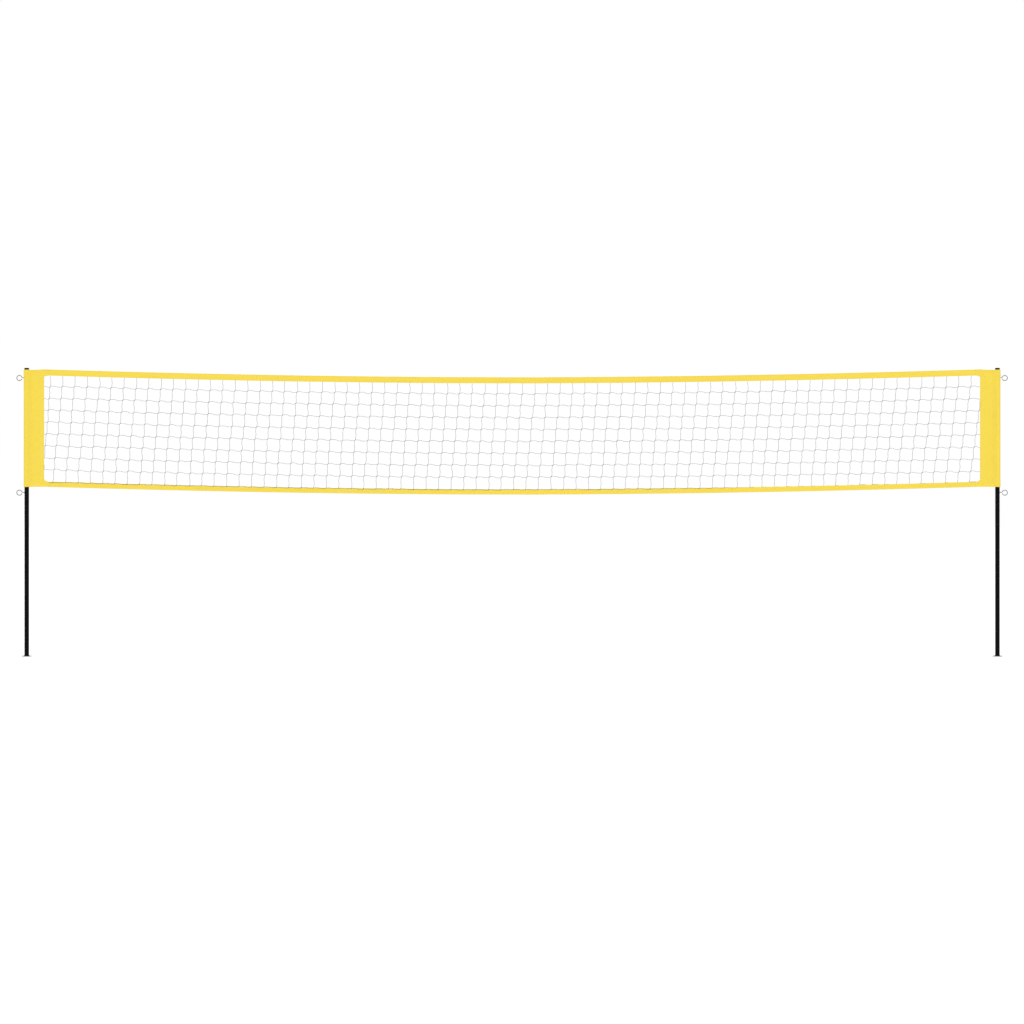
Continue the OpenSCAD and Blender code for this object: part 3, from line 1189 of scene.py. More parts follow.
CORNERS = {
    Side.LEFT: {Edge.TOP: Corner(36 * MM, 9 * MM, 3 * MM), Edge.BOTTOM: Corner(38 * MM, 28 * MM, 0.5 * MM)},
    Side.RIGHT: {Edge.TOP: Corner(36 * MM, 16 * MM, 2 * MM), Edge.BOTTOM: Corner(36 * MM, 22 * MM, 0.5 * MM)},
}


@dataclass
class Sleeve:
    """A fabric sleeve: a pocket round the pole and a double web that the bands and cords are sewn into."""

    outline: Outline
    side: Side
    pole_x: float
    hook_z: float
    corners: dict[Edge, Corner]
    outset: float = 25.4 * MM
    pocket: float = 19.9 * MM
    root: float = 40 * MM
    width: float = 172 * MM
    seam: float = 6 * MM
    hem: float = 13 * MM
    patch: float = 55 * MM
    top_inset: float = 3 * MM
    top_dip: float = 2 * MM
    web_gap: float = 1.0 * MM
    cord_part: float = 0.45 * MM
    band_part: float = 1.1 * MM
    fold_part: float = 1.9 * MM
    hem_rise: float = 0.45
    patch_rise: float = 0.75
    slack_depth: float = 0.55 * MM
    sway_depth: float = 0.8 * MM
    seam_gape: float = 4.4 * MM
    gape_reach: float = 12 * MM
    gape_height: float = 8.5 * MM
    pocket_end: float = 25 * MM
    calm_rise: float = 20 * MM
    calm_run: float = 15 * MM
    stiff_edge: float = 30 * MM
    cords_from: float = 0.8
    bands_from: tuple[float, float] = (0.55, 0.85)
    band_room: tuple[float, float] = (6 * MM, 5 * MM)
    fold_middle: float = 3.4 * MM
    fold_spread: float = 4.5 * MM

    def __post_init__(self) -> None:
        """Works out the sleeve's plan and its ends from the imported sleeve."""
        low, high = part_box(f"{self.side.word}_sleeve")
        self.inner = self.width - (max(abs(low.x), abs(high.x)) - self.pole_x)
        self.top, self.bottom = high.z - self.top_inset, low.z
        self.tall = self.top - self.bottom
        tip = math.acos(self.pocket / self.outset)
        back = math.pi - math.acos(self.pocket / self.root)
        arc = np.linspace(tip, back, 60)
        self.plan = np.concatenate([
            [[self.outset, 0.5 * self.outline.cloth]],
            np.column_stack([self.pocket * np.cos(arc), self.pocket * np.sin(arc)]),
            [[-self.root, self.web_gap + self.outline.cloth / 2]],
            [[-self.inner, self.web_gap + self.outline.cloth / 2]],
        ])
        self.run = distances(self.plan)
        self.root_run = float(self.run[-2])
        self.full_run = float(self.run[-1])

    def ends(self, x: np.ndarray) -> tuple[np.ndarray, np.ndarray]:
        """Heights of the sleeve's lower and upper edge.

        Args:
            x: Distances outboard of the pole's axis.

        Returns:
            The lower edge's heights and the upper edge's.
        """
        share = np.clip((self.outset - x) / self.width, 0, 1)
        low = self.bottom + (self.outline.end_bottom - self.bottom) * share
        high = self.top + (self.outline.end_top - self.top) * share - self.top_dip * np.sin(math.pi * share)
        return low, high

    def inner_reach(self, z: np.ndarray) -> np.ndarray:
        """How far the web reaches inboard: a flap over each band's end, which a rounded corner leads to.

        Args:
            z: Heights.

        Returns:
            The web's reach from the pole's axis at each height.
        """
        x = np.full(z.shape, self.side.value * (self.pole_x - self.inner))
        reach = np.full(z.shape, self.inner)
        for which, corner in self.corners.items():
            into = which.value * (z - self.outline.opening(which, x))
            reach = np.maximum(reach, self.inner + corner.reach(into))
        return reach

    def creases(self) -> list[Crease]:
        """Pulled creases that fan out from the pole's ends to the bands, and slack ones down the pocket.

        Returns:
            The creases.
        """
        dice = random.Random(40 + self.side.value)
        lines = [Crease(run, end + sign * rise, end_run, end + sign * end_rise, 6 * MM, 1.3 * MM)
                 for end, sign in ((0.0, 1), (self.tall, -1))
                 for run, rise, end_run, end_rise in FANNED_CREASES]
        for _ in range(SLACK_CREASES):
            run = dice.uniform(0.0, 50 * MM)
            rise = dice.uniform(90 * MM, self.tall - 90 * MM)
            slope = dice.uniform(-30 * MM, 30 * MM)
            lines.append(Crease(run, rise, run + dice.uniform(50 * MM, 110 * MM), rise + slope,
                                dice.uniform(5, 11) * MM, dice.uniform(0.5, 1.1) * MM))
        return lines

    def surface(self, run: np.ndarray, share: np.ndarray, face: int,
                lift: float = 0.0) -> tuple[np.ndarray, np.ndarray]:
        """Places on one layer of the sleeve.

        Args:
            run: Distances along the cloth from the outer seam.
            share: Shares of the sleeve's height from its lower edge.
            face: 1 for the front layer and -1 for the back layer.
            lift: An extra distance outwards.

        Returns:
            The points and the outward directions there, each shaped (n, 3).
        """
        x, y = sample(run, self.run, self.plan).T
        ahead = heading(run, self.run, self.plan)
        normal_x, normal_y = ahead[:, 1], -ahead[:, 0]
        low, high = self.ends(x)
        z = low + (high - low) * share
        web = np.clip((run - self.root_run) / (self.full_run - self.root_run), 0, 1)
        x = np.where(web > 0, -self.root - web * (self.inner_reach(z) - self.root), x)
        world_x = self.side.value * (self.pole_x + x)
        edge_away, side_away = np.minimum(z - low, high - z), self.full_run - run
        raised = self.raised(run, edge_away) + lift
        pocket = 1 - smooth_step(run, self.root_run - self.pocket_end, self.root_run)
        calm = smooth_step(edge_away, 0, self.calm_rise) * smooth_step(run, 0, self.calm_run)
        waves = SoftWaves(51 + self.side.value, 0.30, 0.06).at(run * 1.6, z)
        creases = sum(crease.ridge(run, z - low) for crease in self.creases())
        # Over the pocket each layer stands out by itself, and in the web both lean the same way
        own = raised + pocket * calm * (self.slack_depth * np.abs(waves) + creases)
        loose = (1 - pocket) * smooth_step(side_away, 0, self.stiff_edge) * calm
        shared = loose * (self.sway_depth * waves + creases) + self.outline.billow(world_x, z)
        out = y + self.parted(web, world_x, z) + self.open_seam(run, z)
        points = np.column_stack([self.side.value * (self.pole_x + x + normal_x * own),
                                  face * (out + normal_y * own) + shared, z])
        outward = np.column_stack([self.side.value * normal_x, face * normal_y, np.zeros(len(run))])
        return points, outward

    def parted(self, web: np.ndarray, world_x: np.ndarray, z: np.ndarray) -> np.ndarray:
        """How far the web's layers part round the cords, and further round the bands' ends and folds.

        Args:
            web: Shares of the way across the web, from its root to its inner edge.
            world_x: Places along the net.
            z: Heights.

        Returns:
            The distance of each point from where it would lie without them.
        """
        part = self.cord_part * smooth_step(web, self.cords_from, 1.0)
        near = smooth_step(web, *self.bands_from)
        room, fade = self.band_room
        for which in Edge:
            into = which.value * (z - self.outline.edge(which, world_x))
            held = smooth_step(self.outline.band(which) + room - into, 0.0, fade)
            fold = np.exp(-(((into - self.fold_middle) / self.fold_spread) ** 2))
            part = np.maximum(part, near * (self.band_part * held + self.fold_part * fold))
        return part

    def raised(self, run: np.ndarray, edge_away: np.ndarray) -> np.ndarray:
        """How far the cloth stands proud where it is doubled, in the hems and the corner patches.

        Args:
            run: Distances along the cloth from the outer seam.
            edge_away: Distances from the nearer one of the lower and upper edges.

        Returns:
            The rise of each point.
        """
        nearest = np.minimum(edge_away, self.full_run - run)
        hem = self.hem_rise * (1 - smooth_step(nearest, self.hem, self.hem + 1.5 * MM))
        patch = (edge_away < self.patch) & (run < self.root_run - 3 * MM)
        return self.outline.cloth * np.maximum(hem, np.where(patch, self.patch_rise, 0))

    def open_seam(self, run: np.ndarray, z: np.ndarray) -> np.ndarray:
        """How far the outer seam is left open, which it is round the upper hook's stem."""
        gape = np.exp(-(((z - self.hook_z) / self.gape_height) ** 4))
        return self.seam_gape * gape * (1 - smooth_step(run, 0, self.gape_reach))

    def stations(self) -> tuple[np.ndarray, np.ndarray]:
        """Where the cloth has points: across it, closer at its edges and seams, and up its height.

        Returns:
            Distances along the cloth from the outer seam, and shares of the height.
        """
        web_end = self.full_run - self.hem
        run = np.concatenate([
            np.linspace(0, self.gape_reach, 7)[:-1],
            np.linspace(self.gape_reach, self.root_run - 3 * MM, 26)[:-1],
            np.linspace(self.root_run - 3 * MM, self.root_run + 2 * MM, 4)[:-1],
            np.linspace(self.root_run + 2 * MM, web_end - 1.5 * MM, 18)[:-1],
            np.linspace(web_end - 1.5 * MM, self.full_run, 8),
        ])
        end = np.array([0, 1.5, 3.5, 6, 9, 12.5, 14.6, 18, 23, 29, 36, 41, 44, 46, 48.5, 51, 52.5, 54.5, 55.5,
                        58, 61, 64.5]) * MM
        hook = self.hook_z - self.bottom
        middle = np.arange(68 * MM, self.tall - 64 * MM, 8.5 * MM)
        middle = middle[np.abs(middle - hook) > 16 * MM]
        around = np.linspace(-14, 14, 15) * MM + hook
        rise = np.unique(np.round(np.concatenate([end, middle, around, self.tall - end]), 6))
        rise = rise[np.concatenate([[True], np.diff(rise) > 0.6 * MM])]
        rise[-1] = self.tall
        return run, rise / self.tall

    def cloth(self) -> Object:
        """Lays the two layers and gives them their thickness.

        Returns:
            The sleeve.
        """
        run, share = self.stations()
        self.flat = (2 * (self.full_run + self.hem), self.tall + 2 * self.hem)
        layers = []
        for face in (1, -1):
            layers.append(cloth_grid(len(run), len(share),
                                     lambda i, j: self.surface(run[i], share[j], face)[0],
                                     (face * run, share * self.tall)))
        sleeve = join(layers)
        thicken(sleeve, self.outline.cloth)
        return settle(sleeve, f"{self.side.word}_sleeve_cloth", 60)

    def rows(self) -> list[tuple[np.ndarray, np.ndarray]]:
        """The seams' paths as distances from the outer seam and shares of the height.

        Returns:
            One path for each row of stitches.
        """
        tall = self.tall
        up = np.linspace(4 * MM, tall - 4 * MM, 480) / tall
        rows = [(np.full(len(up), run), up) for run in (
            self.root_run + 1.5 * MM, self.root_run + self.seam - 1 * MM,
            self.full_run - 4 * MM, self.full_run - self.hem + 2 * MM)]
        across = np.linspace(4 * MM, self.full_run - 4 * MM, 120)
        near, far = 6 * MM, self.root_run - 6 * MM
        for end, sign in ((0.0, 1), (1.0, -1)):
            rows.append((across, np.full(len(across), end + sign * (self.hem - 2 * MM) / tall)))
            first, last = end + sign * self.hem * 1.2 / tall, end + sign * (self.patch - 3 * MM) / tall
            box = [((near, first), (near, last)), ((near, last), (far, last)), ((far, last), (far, first)),
                   ((near, first), (far, last)), ((near, last), (far, first))]
            for (run_a, share_a), (run_b, share_b) in box:
                rows.append((np.linspace(run_a, run_b, 60), np.linspace(share_a, share_b, 60)))
        return rows

    def stitches(self) -> Object:
        """Sews every seam on both layers.

        Returns:
            The stitches.
        """
        sewing = Stitching()
        for face in (1, -1):
            for run, share in self.rows():
                path, outward = self.surface(run, share, face, self.outline.cloth / 2)
                sewing.row(path, outward)
        return sewing.make(f"{self.side.word}_sleeve_stitches")

    def build(self) -> None:
        """Makes the sleeve's cloth and stitches."""
        word = self.side.word
        cloth = dress(self.cloth(), CLOTH.build(), "net_top", "yellow_fabric", f"{word}_sleeve")
        thread = dress(self.stitches(), THREAD.build(), "net_top", "yellow_fabric")


# ---- Mesh ----


@dataclass
class NetMesh:
    """The knotted mesh: upright and level cords that meet in slanting knots.

    The first and last level cords are the mesh's own edges, which lie in the bands.
    """

    outline: Outline
    columns: int = 76
    rows: int = 10
    spacing: tuple[float, ...] = (-3884.8 * MM, 102.89 * MM, 0.0681 * MM, -0.000567 * MM)
    lean: tuple[float, ...] = (84.0 * MM, 18.0 * MM, 21.5 * MM)
    first_lean: float = 71.0 * MM
    first_share: float = -0.0144
    row_share: float = 0.11225
    end_droop: float = 0.003
    right_droop: tuple[float, float] = (0.003, 0.012)
    cord: float = 1.2 * MM
    edge_sink: tuple[float, float] = (0.9 * MM, 0.6 * MM)
    front: float = 3.3 * MM
    slip: tuple[float, float] = (1.2, 2.4)
    steps: int = 10
    tuck: float = 7 * MM
    uneven: tuple[float, float] = (2.0 * MM, 1.5 * MM)
    level_reach: tuple[float, float] = (6.0 * MM, 4.3 * MM)
    upright_reach: tuple[float, float] = (3.4 * MM, 5.0 * MM)
    sewn_aside: float = 0.4
    end_room: float = 12 * MM
    flap_room: tuple[float, float] = (37 * MM, 46 * MM)
    knot_size: float = 0.92 * MM
    knot_stretch: tuple[float, float] = (1.5, 0.8)
    knot_lean: tuple[float, float] = (38.0, 10.0)
    knot_uneven: float = 0.07
    edge_knot_depth: float = 0.6
    slip_middle: tuple[float, float] = (0.38, 0.60)
    slip_width: tuple[float, float] = (0.12, 0.30)
    swing: tuple[float, float] = (0.22, 0.14)
    stray: float = 0.8 * MM
    foot_rise: tuple[float, float] = (2 * MM, 22 * MM)
    band_room: float = 20 * MM

    def __post_init__(self) -> None:
        """Starts the seeded dice and places every knot."""
        self.dice = random.Random(5)
        self.knots = [[self.knot_place(k, j) for j in range(self.rows)] for k in range(self.columns)]

    def knot_place(self, column: int, row: int) -> np.ndarray:
        """The place of one knot.

        Args:
            column: The upright cord's number from the left.
            row: The level cord's number from the top.

        Returns:
            The point.
        """
        start = sum(part * column**power for power, part in enumerate(self.spacing))
        u = start / self.outline.half
        drift = sum(part * u**power for power, part in enumerate(self.lean)) if column else self.first_lean
        share = self.first_share + self.row_share * row
        # The mesh hangs a little lower at its ends, and more so at the right-hand one
        fixed, growing = self.right_droop
        share += self.end_droop * u * u + max(u, 0.0) ** 2 * (fixed + growing * share)
        x = start - drift * share + self.dice.gauss(0, 1) * self.uneven[0]
        top = float(self.outline.opening(Edge.TOP, np.float64(x)))
        bottom = float(self.outline.opening(Edge.BOTTOM, np.float64(x)))
        uneven = self.dice.gauss(0, 1) * self.uneven[1]
        if row == self.rows - 1:
            sink = self.edge_sink[0] + self.edge_sink[1] * float(smooth_step(np.float64(x), *self.slip))
            return np.array([x, 0.0, bottom - sink + uneven])
        return np.array([x, 0.0, top + (bottom - top) * share + uneven])

    def stretch(self, start: np.ndarray, end: np.ndarray, reach: np.ndarray, aside: np.ndarray) -> np.ndarray:
        """The points of a cord between two knots: it leaves on one side and slips over to the other.

        Args:
            start: The knot that the cord leaves.
            end: The knot that it comes to.
            reach: How far from each knot's middle it leaves and arrives, along its own run.
            aside: The direction and distance that it leaves the knot to, across its run.

        Returns:
            The points.
        """
        along = np.linspace(0, 1, self.steps)
        middle = self.dice.uniform(*self.slip_middle)
        wide = self.dice.uniform(*self.slip_width)
        slip = 1 - 2 * smooth_step(along, middle - wide, middle + wide)
        swing = self.dice.gauss(0, self.swing[0]) * np.sin(math.pi * along)
        swing += self.dice.gauss(0, self.swing[1]) * np.sin(math.tau * along)
        points = start + reach + (end - start - 2 * reach) * along[:, None] + aside * (slip + swing)[:, None]
        points[:, 1] += self.dice.gauss(0, self.stray) * np.sin(math.pi * along)
        return points

    def linked(self, knots: list[np.ndarray], reach: np.ndarray, aside: np.ndarray) -> np.ndarray:
        """The points of a cord through a row of knots, one stretch after another."""
        return np.concatenate([self.stretch(a, b, reach, aside) for a, b in zip(knots, knots[1:])])

    def uprights(self) -> list[np.ndarray]:
        """The upright cords' paths, which run down to the left through each knot and end in the last.

        Returns:
            One path for each cord, from left to right.
        """
        across, down = self.upright_reach
        reach, aside = np.array([0, 0, -down]), np.array([-across, 0, 0])
        return [np.vstack([self.linked(column, reach, aside), column[-1]]) for column in self.knots]

    def levels(self) -> list[np.ndarray]:
        """The level cords' paths, which run up to the right through each knot.

        Returns:
            One path for each cord, from the top down.
        """
        across, up = self.level_reach
        reach = np.array([across, 0, 0])
        limit = self.outline.half + self.tuck
        paths = []
        for j in range(self.rows):
            # The last cord is sewn along the band's edge, so it stands off less from its knots
            aside = np.array([0, 0, up * (self.sewn_aside if j == self.rows - 1 else 1.0)])
            inside = [column[j] for column in self.knots if abs(column[j][0]) < limit - self.end_room]
            first = np.array([-limit - across, 0, inside[0][2] - up])
            final = np.array([limit + across, 0, inside[-1][2] + up])
            paths.append(self.linked([first, *inside, final], reach, aside))
        return paths

    def clipped(self, path: np.ndarray) -> np.ndarray | None:
        """The part of a cord between the sleeves, with its ends tucked into them.

        Args:
            path: The cord's points.

        Returns:
            The points that are kept, or None if too few are.
        """
        limit = self.outline.half + self.tuck
        away = np.abs(path[:, 0])
        inside = np.flatnonzero(away < limit)
        if len(inside) < 3:
            return None
        kept = [path[inside]]
        for last, beyond in ((inside[0], inside[0] - 1), (inside[-1], inside[-1] + 1)):
            if 0 <= beyond < len(path):
                # The cord is cut exactly at the limit, so that no end stops short of the cloth
                share = (limit - away[last]) / (away[beyond] - away[last])
                cut = path[last] + (path[beyond] - path[last]) * share
                kept.insert(0 if beyond < last else len(kept), cut[None, :])
        return np.concatenate(kept)

    def in_front(self, x: np.ndarray, z: np.ndarray) -> np.ndarray:
        """How far the mesh's foot lies in front of the net's plane.

        The edge cord is sewn on the front of the bottom band. It slips in between the band's legs towards
        the right, and at both ends under the sleeve's flap.

        Args:
            x: Places along the net.
            z: Heights.

        Returns:
            The distance of each point.
        """
        foot = 1 - smooth_step(z - self.outline.opening(Edge.BOTTOM, x), *self.foot_rise)
        end = smooth_step(self.outline.half - np.abs(x), *self.flap_room)
        return self.front * foot * (1 - smooth_step(x, *self.slip)) * end

    def laid(self, path: np.ndarray) -> np.ndarray:
        """Keeps a path between the bands' legs where it is in them, and moves it with the net's billow.

        Args:
            path: The points.

        Returns:
            The moved points.
        """
        moved = path.copy()
        x, z = path[:, 0], path[:, 2]
        top, bottom = (self.outline.opening(which, x) for which in (Edge.TOP, Edge.BOTTOM))
        moved[:, 1] *= smooth_step(np.minimum(top - z, z - bottom), 0, self.band_room)
        moved[:, 1] += self.outline.billow(x, z) - self.in_front(x, z)
        return moved

    def cords(self) -> Object:
        """Makes all the cords.

        Returns:
            The cords as one piece.
        """
        top, *inner, bottom = self.levels()
        kept = [self.clipped(path) for path in (*self.uprights(), *inner, top, bottom)]
        return settle(tubes([self.laid(path) for path in kept if path is not None], self.cord, 1),
                      "net_cords", 80)

    def knot(self) -> Object:
        """Models one knot: a tight loop of three lobes.

        Returns:
            The knot, at the origin.
        """
        turn = np.linspace(0, math.tau, 12, endpoint=False)
        path = self.knot_size * np.column_stack([
            np.sin(turn) + 2 * np.sin(2 * turn), -np.sin(3 * turn), np.cos(turn) - 2 * np.cos(2 * turn)])
        return settle(tubes([path], self.cord * 0.95, 0, closed=True), "knot", 80)

    def tied(self) -> Object:
        """Ties a knot at every crossing between the sleeves, below the top band.

        Returns:
            The knots as one piece.
        """
        long, short = self.knot_stretch
        places, turns = [], []
        for column in self.knots:
            for j, knot in enumerate(column[1:], 1):
                if abs(knot[0]) > self.outline.half - 3 * MM:
                    continue
                lean = math.radians(self.dice.gauss(*self.knot_lean))
                size = 1 + self.dice.gauss(0, self.knot_uneven)
                flat = self.edge_knot_depth if j == self.rows - 1 else 1.0
                c, s = math.cos(lean), math.sin(lean)
                turn = np.array([[c * long, 0, -s * short], [0, flat, 0], [s * long, 0, c * short]])
                turns.append(size * turn)
                places.append(knot)
        return settle(copies(self.knot(), self.laid(np.array(places)), np.array(turns)), "net_knots", 80)

    def build(self) -> None:
        """Makes the cords and the knots."""
        twine = NET_TWINE.build()
        dress(self.cords(), twine, "net_top", "net_cord", "mesh_net")
        dress(self.tied(), twine, "net_top", "net_cord")


# ---- Poles ----


@dataclass
class Hook:
    """A screw hook: threaded stem, bend and open ring."""

    side: Side
    level: Level
    pole_x: float
    wire: float = 2.9 * MM
    bend: float = 19 * MM
    ring_drop: float = 2 * MM
    core: float = 2.4 * MM
    thread_pitch: float = 1.25 * MM
    thread_end: float = 25 * MM
    stem_start: float = 4 * MM
    ridge: float = 0.55 * MM
    ridge_points: int = 12
    mouth_angle: float = -158.0

    @property
    def node(self) -> str:
        """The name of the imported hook."""
        return f"{self.side.word}_{self.level.word}_hook"

    def measured(self) -> tuple[float, float, float]:
        """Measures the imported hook.

        Returns:
            The ring's distance from the pole's axis, its radius to the middle of the wire, and the
            stem's height.
        """
        low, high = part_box(self.node)
        outer = (high.z - low.z) / 2
        tip = max(abs(low.x), abs(high.x)) - self.pole_x
        return tip - outer, outer - self.wire, (high.z + low.z) / 2 + self.ring_drop

    def placed(self, points: np.ndarray, height: float) -> np.ndarray:
        """Turns points of the pole's own side view into places in the scene."""
        x = self.side.value * (self.pole_x + points[:, 0])
        return np.column_stack([x, np.zeros(len(points)), points[:, 1] + height])

    def shape(self) -> Object:
        """Bends the wire and cuts its thread.

        Returns:
            The hook.
        """
        reach, ring, height = self.measured()
        rise = self.bend + self.ring_drop
        bend_x = reach - math.sqrt((ring + self.bend) ** 2 - rise**2)
        sweep = math.acos(rise / (ring + self.bend))
        turn = np.linspace(-math.pi / 2, -math.pi / 2 + sweep, 12)
        bend = np.column_stack([bend_x + self.bend * np.cos(turn), self.bend + self.bend * np.sin(turn)])
        mouth = math.radians(self.mouth_angle)
        turn = np.linspace(math.pi / 2 + sweep, mouth, 60)
        loop = np.column_stack([reach + ring * np.cos(turn), ring * np.sin(turn) - self.ring_drop])
        ahead = np.array([math.sin(mouth), -math.cos(mouth)])
        rounds = np.radians([25, 50, 70, 84])
        tip = loop[-1] + ahead * (self.wire * np.sin(rounds))[:, None]
        stem = np.array([[self.thread_end, 0], [(self.thread_end + bend_x) / 2, 0]])
        path = np.concatenate([stem, bend, loop[1:], tip])
        taper = np.concatenate([np.ones(len(path) - len(tip)), np.cos(rounds)])
        parts = [tubes([self.placed(path, height)], self.wire, 4, taper=taper)]
        core = np.array([[self.stem_start, 0], [self.thread_end + MM, 0]])
        parts.append(tubes([self.placed(core, height)], self.core, 4))
        parts.append(self.thread(height))
        return settle(join(parts), f"{self.node}_wire", 50)

    def thread(self, height: float) -> Object:
        """Winds the thread's ridge round the stem.

        Args:
            height: The stem's height.

        Returns:
            The ridge.
        """
        turns = (self.thread_end - self.stem_start) / self.thread_pitch
        turn = np.linspace(0, math.tau * turns, int(turns * self.ridge_points))
        along = self.stem_start + self.thread_pitch * turn / math.tau
        ridge = np.column_stack([self.side.value * (self.pole_x + along), self.core * np.cos(turn),
                                 height + self.core * np.sin(turn)])
        return tubes([ridge], self.ridge, 0)

    def build(self) -> None:
        """Makes the hook."""
        dress(self.shape(), HOOK_STEEL.build(), self.node, "hook_steel", self.node)


@dataclass
class Pole:
    """One pole: its coated tubes, moulded foot and cap, steel disc, inserts and hooks."""

    side: Side
    tube: float = 19 * MM
    wall: float = 1.5 * MM
    play: float = 0.1 * MM
    screw: float = 3.0 * MM
    foot_edge: float = 0.8 * MM
    cap_edge: float = 2 * MM
    cap_dome: float = 0.4 * MM
    gate_depth: float = 0.5 * MM
    groove_depth: float = 0.25 * MM
    rib_inset: float = 0.3 * MM
    steps: int = 96
    rib_every: int = 4

    def __post_init__(self) -> None:
        """Finds the pole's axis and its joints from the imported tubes."""
        low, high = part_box(f"{self.side.word}_upper_pole")
        self.x = abs(low.x + high.x) / 2
        self.joints = (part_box(f"{self.side.word}_middle_pole")[0].z, low.z)

    @property
    def axis(self) -> Vector:
        """The foot of the pole's axis."""
        return Vector((self.side.value * self.x, 0, 0))

    @property
    def bore(self) -> float:
        """The radius of a plug that fits in the tubes."""
        return self.tube - self.wall - self.play

    def foot(self) -> Object:
        """Moulds the foot: a grooved flange that the tube stands on, and a plug inside the tube.

        Returns:
            The foot.
        """
        low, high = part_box(f"{self.side.word}_foot_cap")
        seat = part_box(f"{self.side.word}_lower_pole")[0].z
        wide, bore, edge, top = (high.x - low.x) / 2, self.bore, self.foot_edge, high.z
        outline = [(self.screw, low.z), (wide - 2 * edge, low.z)]
        outline += rounding(wide - edge, low.z + edge, edge, -80, 0, 3)
        outline += rounding(wide - edge, seat - edge, edge, 0, 80, 4)
        outline += [(self.tube + 0.5 * MM, seat), (self.tube, seat - 0.3 * MM), (bore, seat - 0.3 * MM)]
        outline += [(bore, top - 1 * MM), (bore - 1 * MM, top), (self.screw, top), (self.screw, low.z)]
        foot = lathe(outline, self.axis, self.steps, ring=True)
        self.press_ribs(foot, low.z + edge, seat - edge, 0.4 * MM)
        return settle(foot, f"{self.side.word}_foot_moulding", 35)

    def press_ribs(self, piece: Object, low: float, high: float, depth: float) -> None:
        """Presses grip grooves into one in every few of a moulding's outer faces.

        Args:
            piece: The lathe-turned moulding.
            low: The grooves' lower end.
            high: The grooves' upper end.
            depth: How deep they are.
        """
        offset = piece.matrix_world.translation - self.axis

        def grooved(at: Vector, normal: Vector) -> bool:
            """Says whether a face is pressed in.

            Args:
                at: The face's centre.
                normal: Its outward direction.

            Returns:
                Whether it is.
            """
            away = at + offset
            outside = normal.x * away.x + normal.y * away.y > 0 and abs(normal.z) < 0.1
            number = round(math.atan2(away.y, away.x) / math.tau * self.steps - 0.5)
            beyond = math.hypot(away.x, away.y) > self.tube
            return outside and low < away.z < high and beyond and number % self.rib_every == 0

        with editing(piece):
            select_faces(piece, grooved)
            bpy.ops.mesh.inset(use_individual=True, thickness=self.rib_inset, depth=-depth)

    def cap(self) -> Object:
        """Moulds the cap: a low dome with a rounded edge, and the plug inside the tube.

        Returns:
            The cap.
        """
        low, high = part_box(f"{self.side.word}_top_cap")
        tube_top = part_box(f"{self.side.word}_upper_pole")[1].z
        wide, bore, edge, dome = (high.x - low.x) / 2, self.bore, self.cap_edge, self.cap_dome
        flat = wide - edge
        outline = [(1.0 * MM, low.z), (bore - 1 * MM, low.z), (bore, low.z + 1 * MM), (bore, tube_top)]
        outline += [(wide - 0.5 * MM, tube_top), (wide, tube_top + 0.5 * MM)]
        outline += [(wide, tube_top + 2 * MM), (wide, high.z - edge - dome - 1.2 * MM)]
        outline += rounding(flat, high.z - edge - dome, edge, 0, 82, 7)
        outline += [(flat * share, high.z - dome * share**2) for share in (0.72, 0.55)]
        # A shallow ring groove, and the moulding gate's pit in the middle
        outline += [(flat * 0.52, high.z - dome * 0.27 - self.groove_depth),
                    (flat * 0.46, high.z - dome * 0.21 - self.groove_depth),
                    (flat * 0.43, high.z - dome * 0.18), (2.2 * MM, high.z - 0.02 * MM),
                    (1.8 * MM, high.z - self.gate_depth), (1.0 * MM, high.z - self.gate_depth)]
        cap = lathe(outline, self.axis, self.steps, ring=False)
        self.press_ribs(cap, tube_top + 2 * MM, high.z - edge - 2 * dome, 0.35 * MM)
        return settle(cap, f"{self.side.word}_cap_moulding", 35)

    def build(self) -> None:
        """Makes the mouldings and hooks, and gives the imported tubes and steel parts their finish."""
        word = self.side.word
        dress(self.foot(), PLASTIC.build(), "ground_sections", "black_plastic", f"{word}_foot_cap")
        dress(self.cap(), PLASTIC.build(), "net_top", "black_plastic", f"{word}_top_cap")
        coat = PowderCoat("black powder coat", (0.0030, 0.0030, 0.0032), 0.5, rings=self.joints).build()
        steel = DISC_STEEL.build()
        finishes = {"lower_pole": coat, "middle_pole": coat, "upper_pole": coat, "foot_disc": steel,
                    "foot_screw": steel, "lower_insert": steel, "upper_insert": steel}
        for part, material in finishes.items():
            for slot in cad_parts[f"{word}_{part}"].material_slots:
                slot.material = material
        for level in Level:
            Hook(self.side, level, self.x).build()


# ---- Studio ----


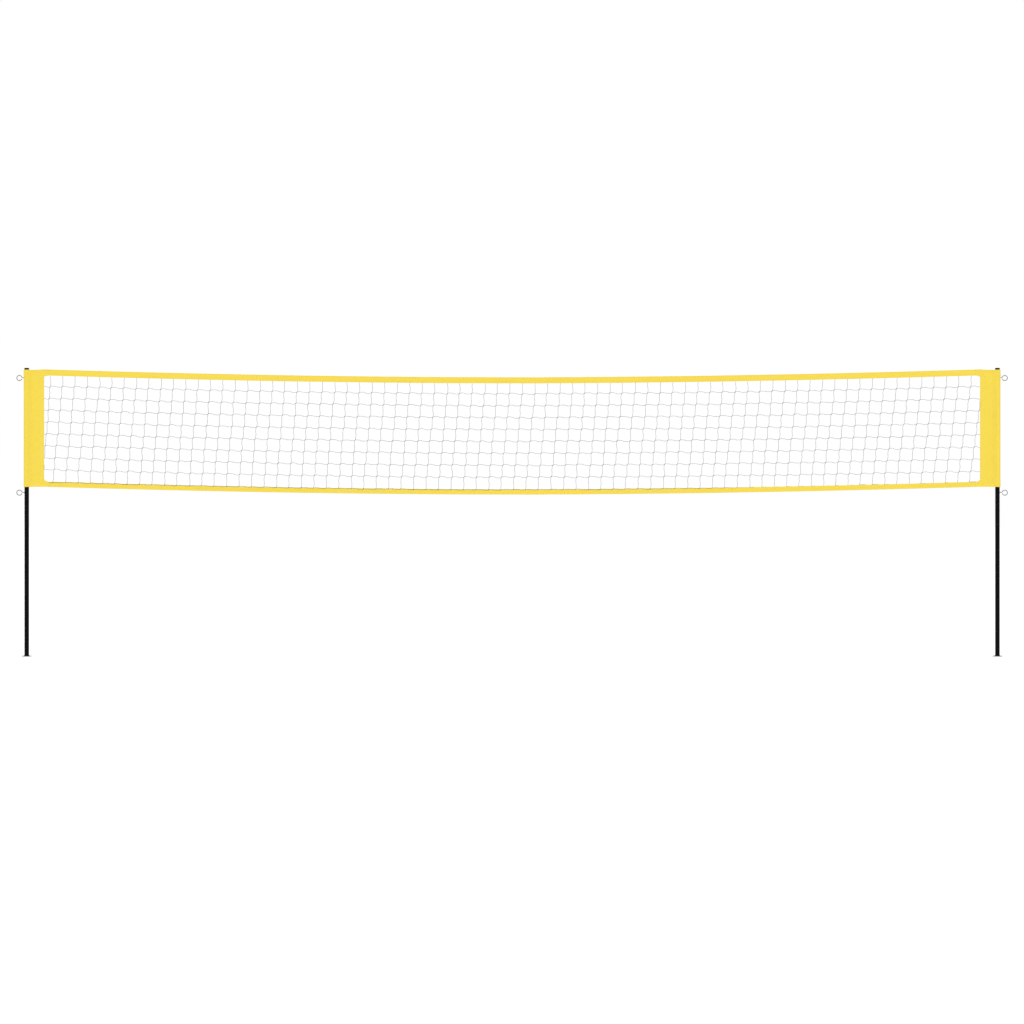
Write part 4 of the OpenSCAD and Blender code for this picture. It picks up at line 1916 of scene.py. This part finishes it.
@dataclass
class Studio:
    """White floor and surroundings, soft lamps and the camera."""

    lens: float = 100.0
    sensor: float = 36.0
    camera_place: tuple[float, float, float] = (-0.0007, -23.964, 1.2161)
    sight: float = 500.0
    sky: float = 0.82
    floor_size: float = 400.0
    floor_colour: Paint = (0.8, 0.8, 0.8, 1.0)
    floor_glow: float = 0.25
    lamp_spread: float = 70.0
    lamps: tuple[tuple[str, tuple[int, int, int], float], ...] = (
        ("key", (48, 0, -28), 0.5), ("fill", (52, 0, 38), 0.42), ("back", (-55, 0, 20), 0.35))

    def seen(self, sheet: NodeSheet) -> NodeSocket:
        """Tells what is seen from what lights the object.

        Args:
            sheet: The nodes of the floor's material or of the world.

        Returns:
            1 for what the camera, a reflection or glass sees, and 0 for what lights the object.
        """
        path = sheet.add("LightPath")
        shiny = sheet.math("MAXIMUM", path.outputs["Is Glossy Ray"], path.outputs["Is Transmission Ray"])
        return sheet.math("MAXIMUM", path.outputs["Is Camera Ray"], shiny)

    def surroundings(self) -> None:
        """Makes the world white to the camera, and a plain level of light to the object."""
        world = bpy.data.worlds.new("studio")
        world.use_nodes = True
        bpy.context.scene.world = world
        sheet = NodeSheet(world.node_tree)
        level = sheet.ramp(self.seen(sheet), 0.0, 1.0, self.sky, 1.0)
        background = world.node_tree.nodes["Background"]
        sheet.feed(background.inputs["Color"], (1.0, 1.0, 1.0, 1.0))
        sheet.feed(background.inputs["Strength"], level)

    def floor(self) -> None:
        """Lays a pale floor that looks white where nothing shades it, and keeps the shadows."""
        bpy.ops.object.select_all(action="DESELECT")
        bpy.ops.mesh.primitive_plane_add(size=self.floor_size)
        floor = bpy.context.object
        floor.name = "floor"
        material = bpy.data.materials.new("white floor")
        material.use_nodes = True
        sheet = NodeSheet(material.node_tree)
        material.node_tree.nodes.remove(material.node_tree.nodes["Principled BSDF"])
        matt = sheet.add("BsdfDiffuse", {"Color": self.floor_colour})
        glow = sheet.add("Emission", {"Color": (1.0, 1.0, 1.0, 1.0),
                                      "Strength": sheet.math("MULTIPLY", self.seen(sheet), self.floor_glow)})
        both = sheet.add("AddShader", {0: matt.outputs[0], 1: glow.outputs[0]})
        sheet.feed(material.node_tree.nodes["Material Output"].inputs["Surface"], both.outputs[0])
        floor.data.materials.append(material)

    def light(self) -> None:
        """Hangs two broad lamps in front, one of them stronger, and one behind."""
        for name, turn, power in self.lamps:
            bpy.ops.object.light_add(type="SUN", rotation=[math.radians(a) for a in turn])
            lamp = bpy.context.object
            lamp.name = name
            lamp.data.energy = power
            lamp.data.angle = math.radians(self.lamp_spread)

    def camera(self) -> None:
        """Sets up the camera level with the middle of the poles."""
        bpy.ops.object.camera_add(location=self.camera_place, rotation=(math.radians(90), 0, 0))
        camera = bpy.context.object
        camera.data.lens = self.lens
        camera.data.sensor_width = self.sensor
        camera.data.clip_end = self.sight
        bpy.context.scene.camera = camera

    def build(self) -> None:
        """Makes the whole studio."""
        bpy.context.scene.view_settings.view_transform = "Standard"
        self.camera()
        self.surroundings()
        self.floor()
        self.light()


def main() -> None:
    """Builds the studio, the poles and the net."""
    logging.basicConfig(level=logging.INFO, format="%(message)s")
    Studio().build()
    outline = Outline.from_frame()
    for side in Side:
        pole = Pole(side)
        pole.build()
        insert_low, insert_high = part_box(f"{side.word}_upper_insert")
        Sleeve(outline, side, pole.x, (insert_low.z + insert_high.z) / 2, CORNERS[side]).build()
    for which in Edge:
        Band(outline, which).build()
    NetMesh(outline).build()


if __name__ == "__main__":
    main()
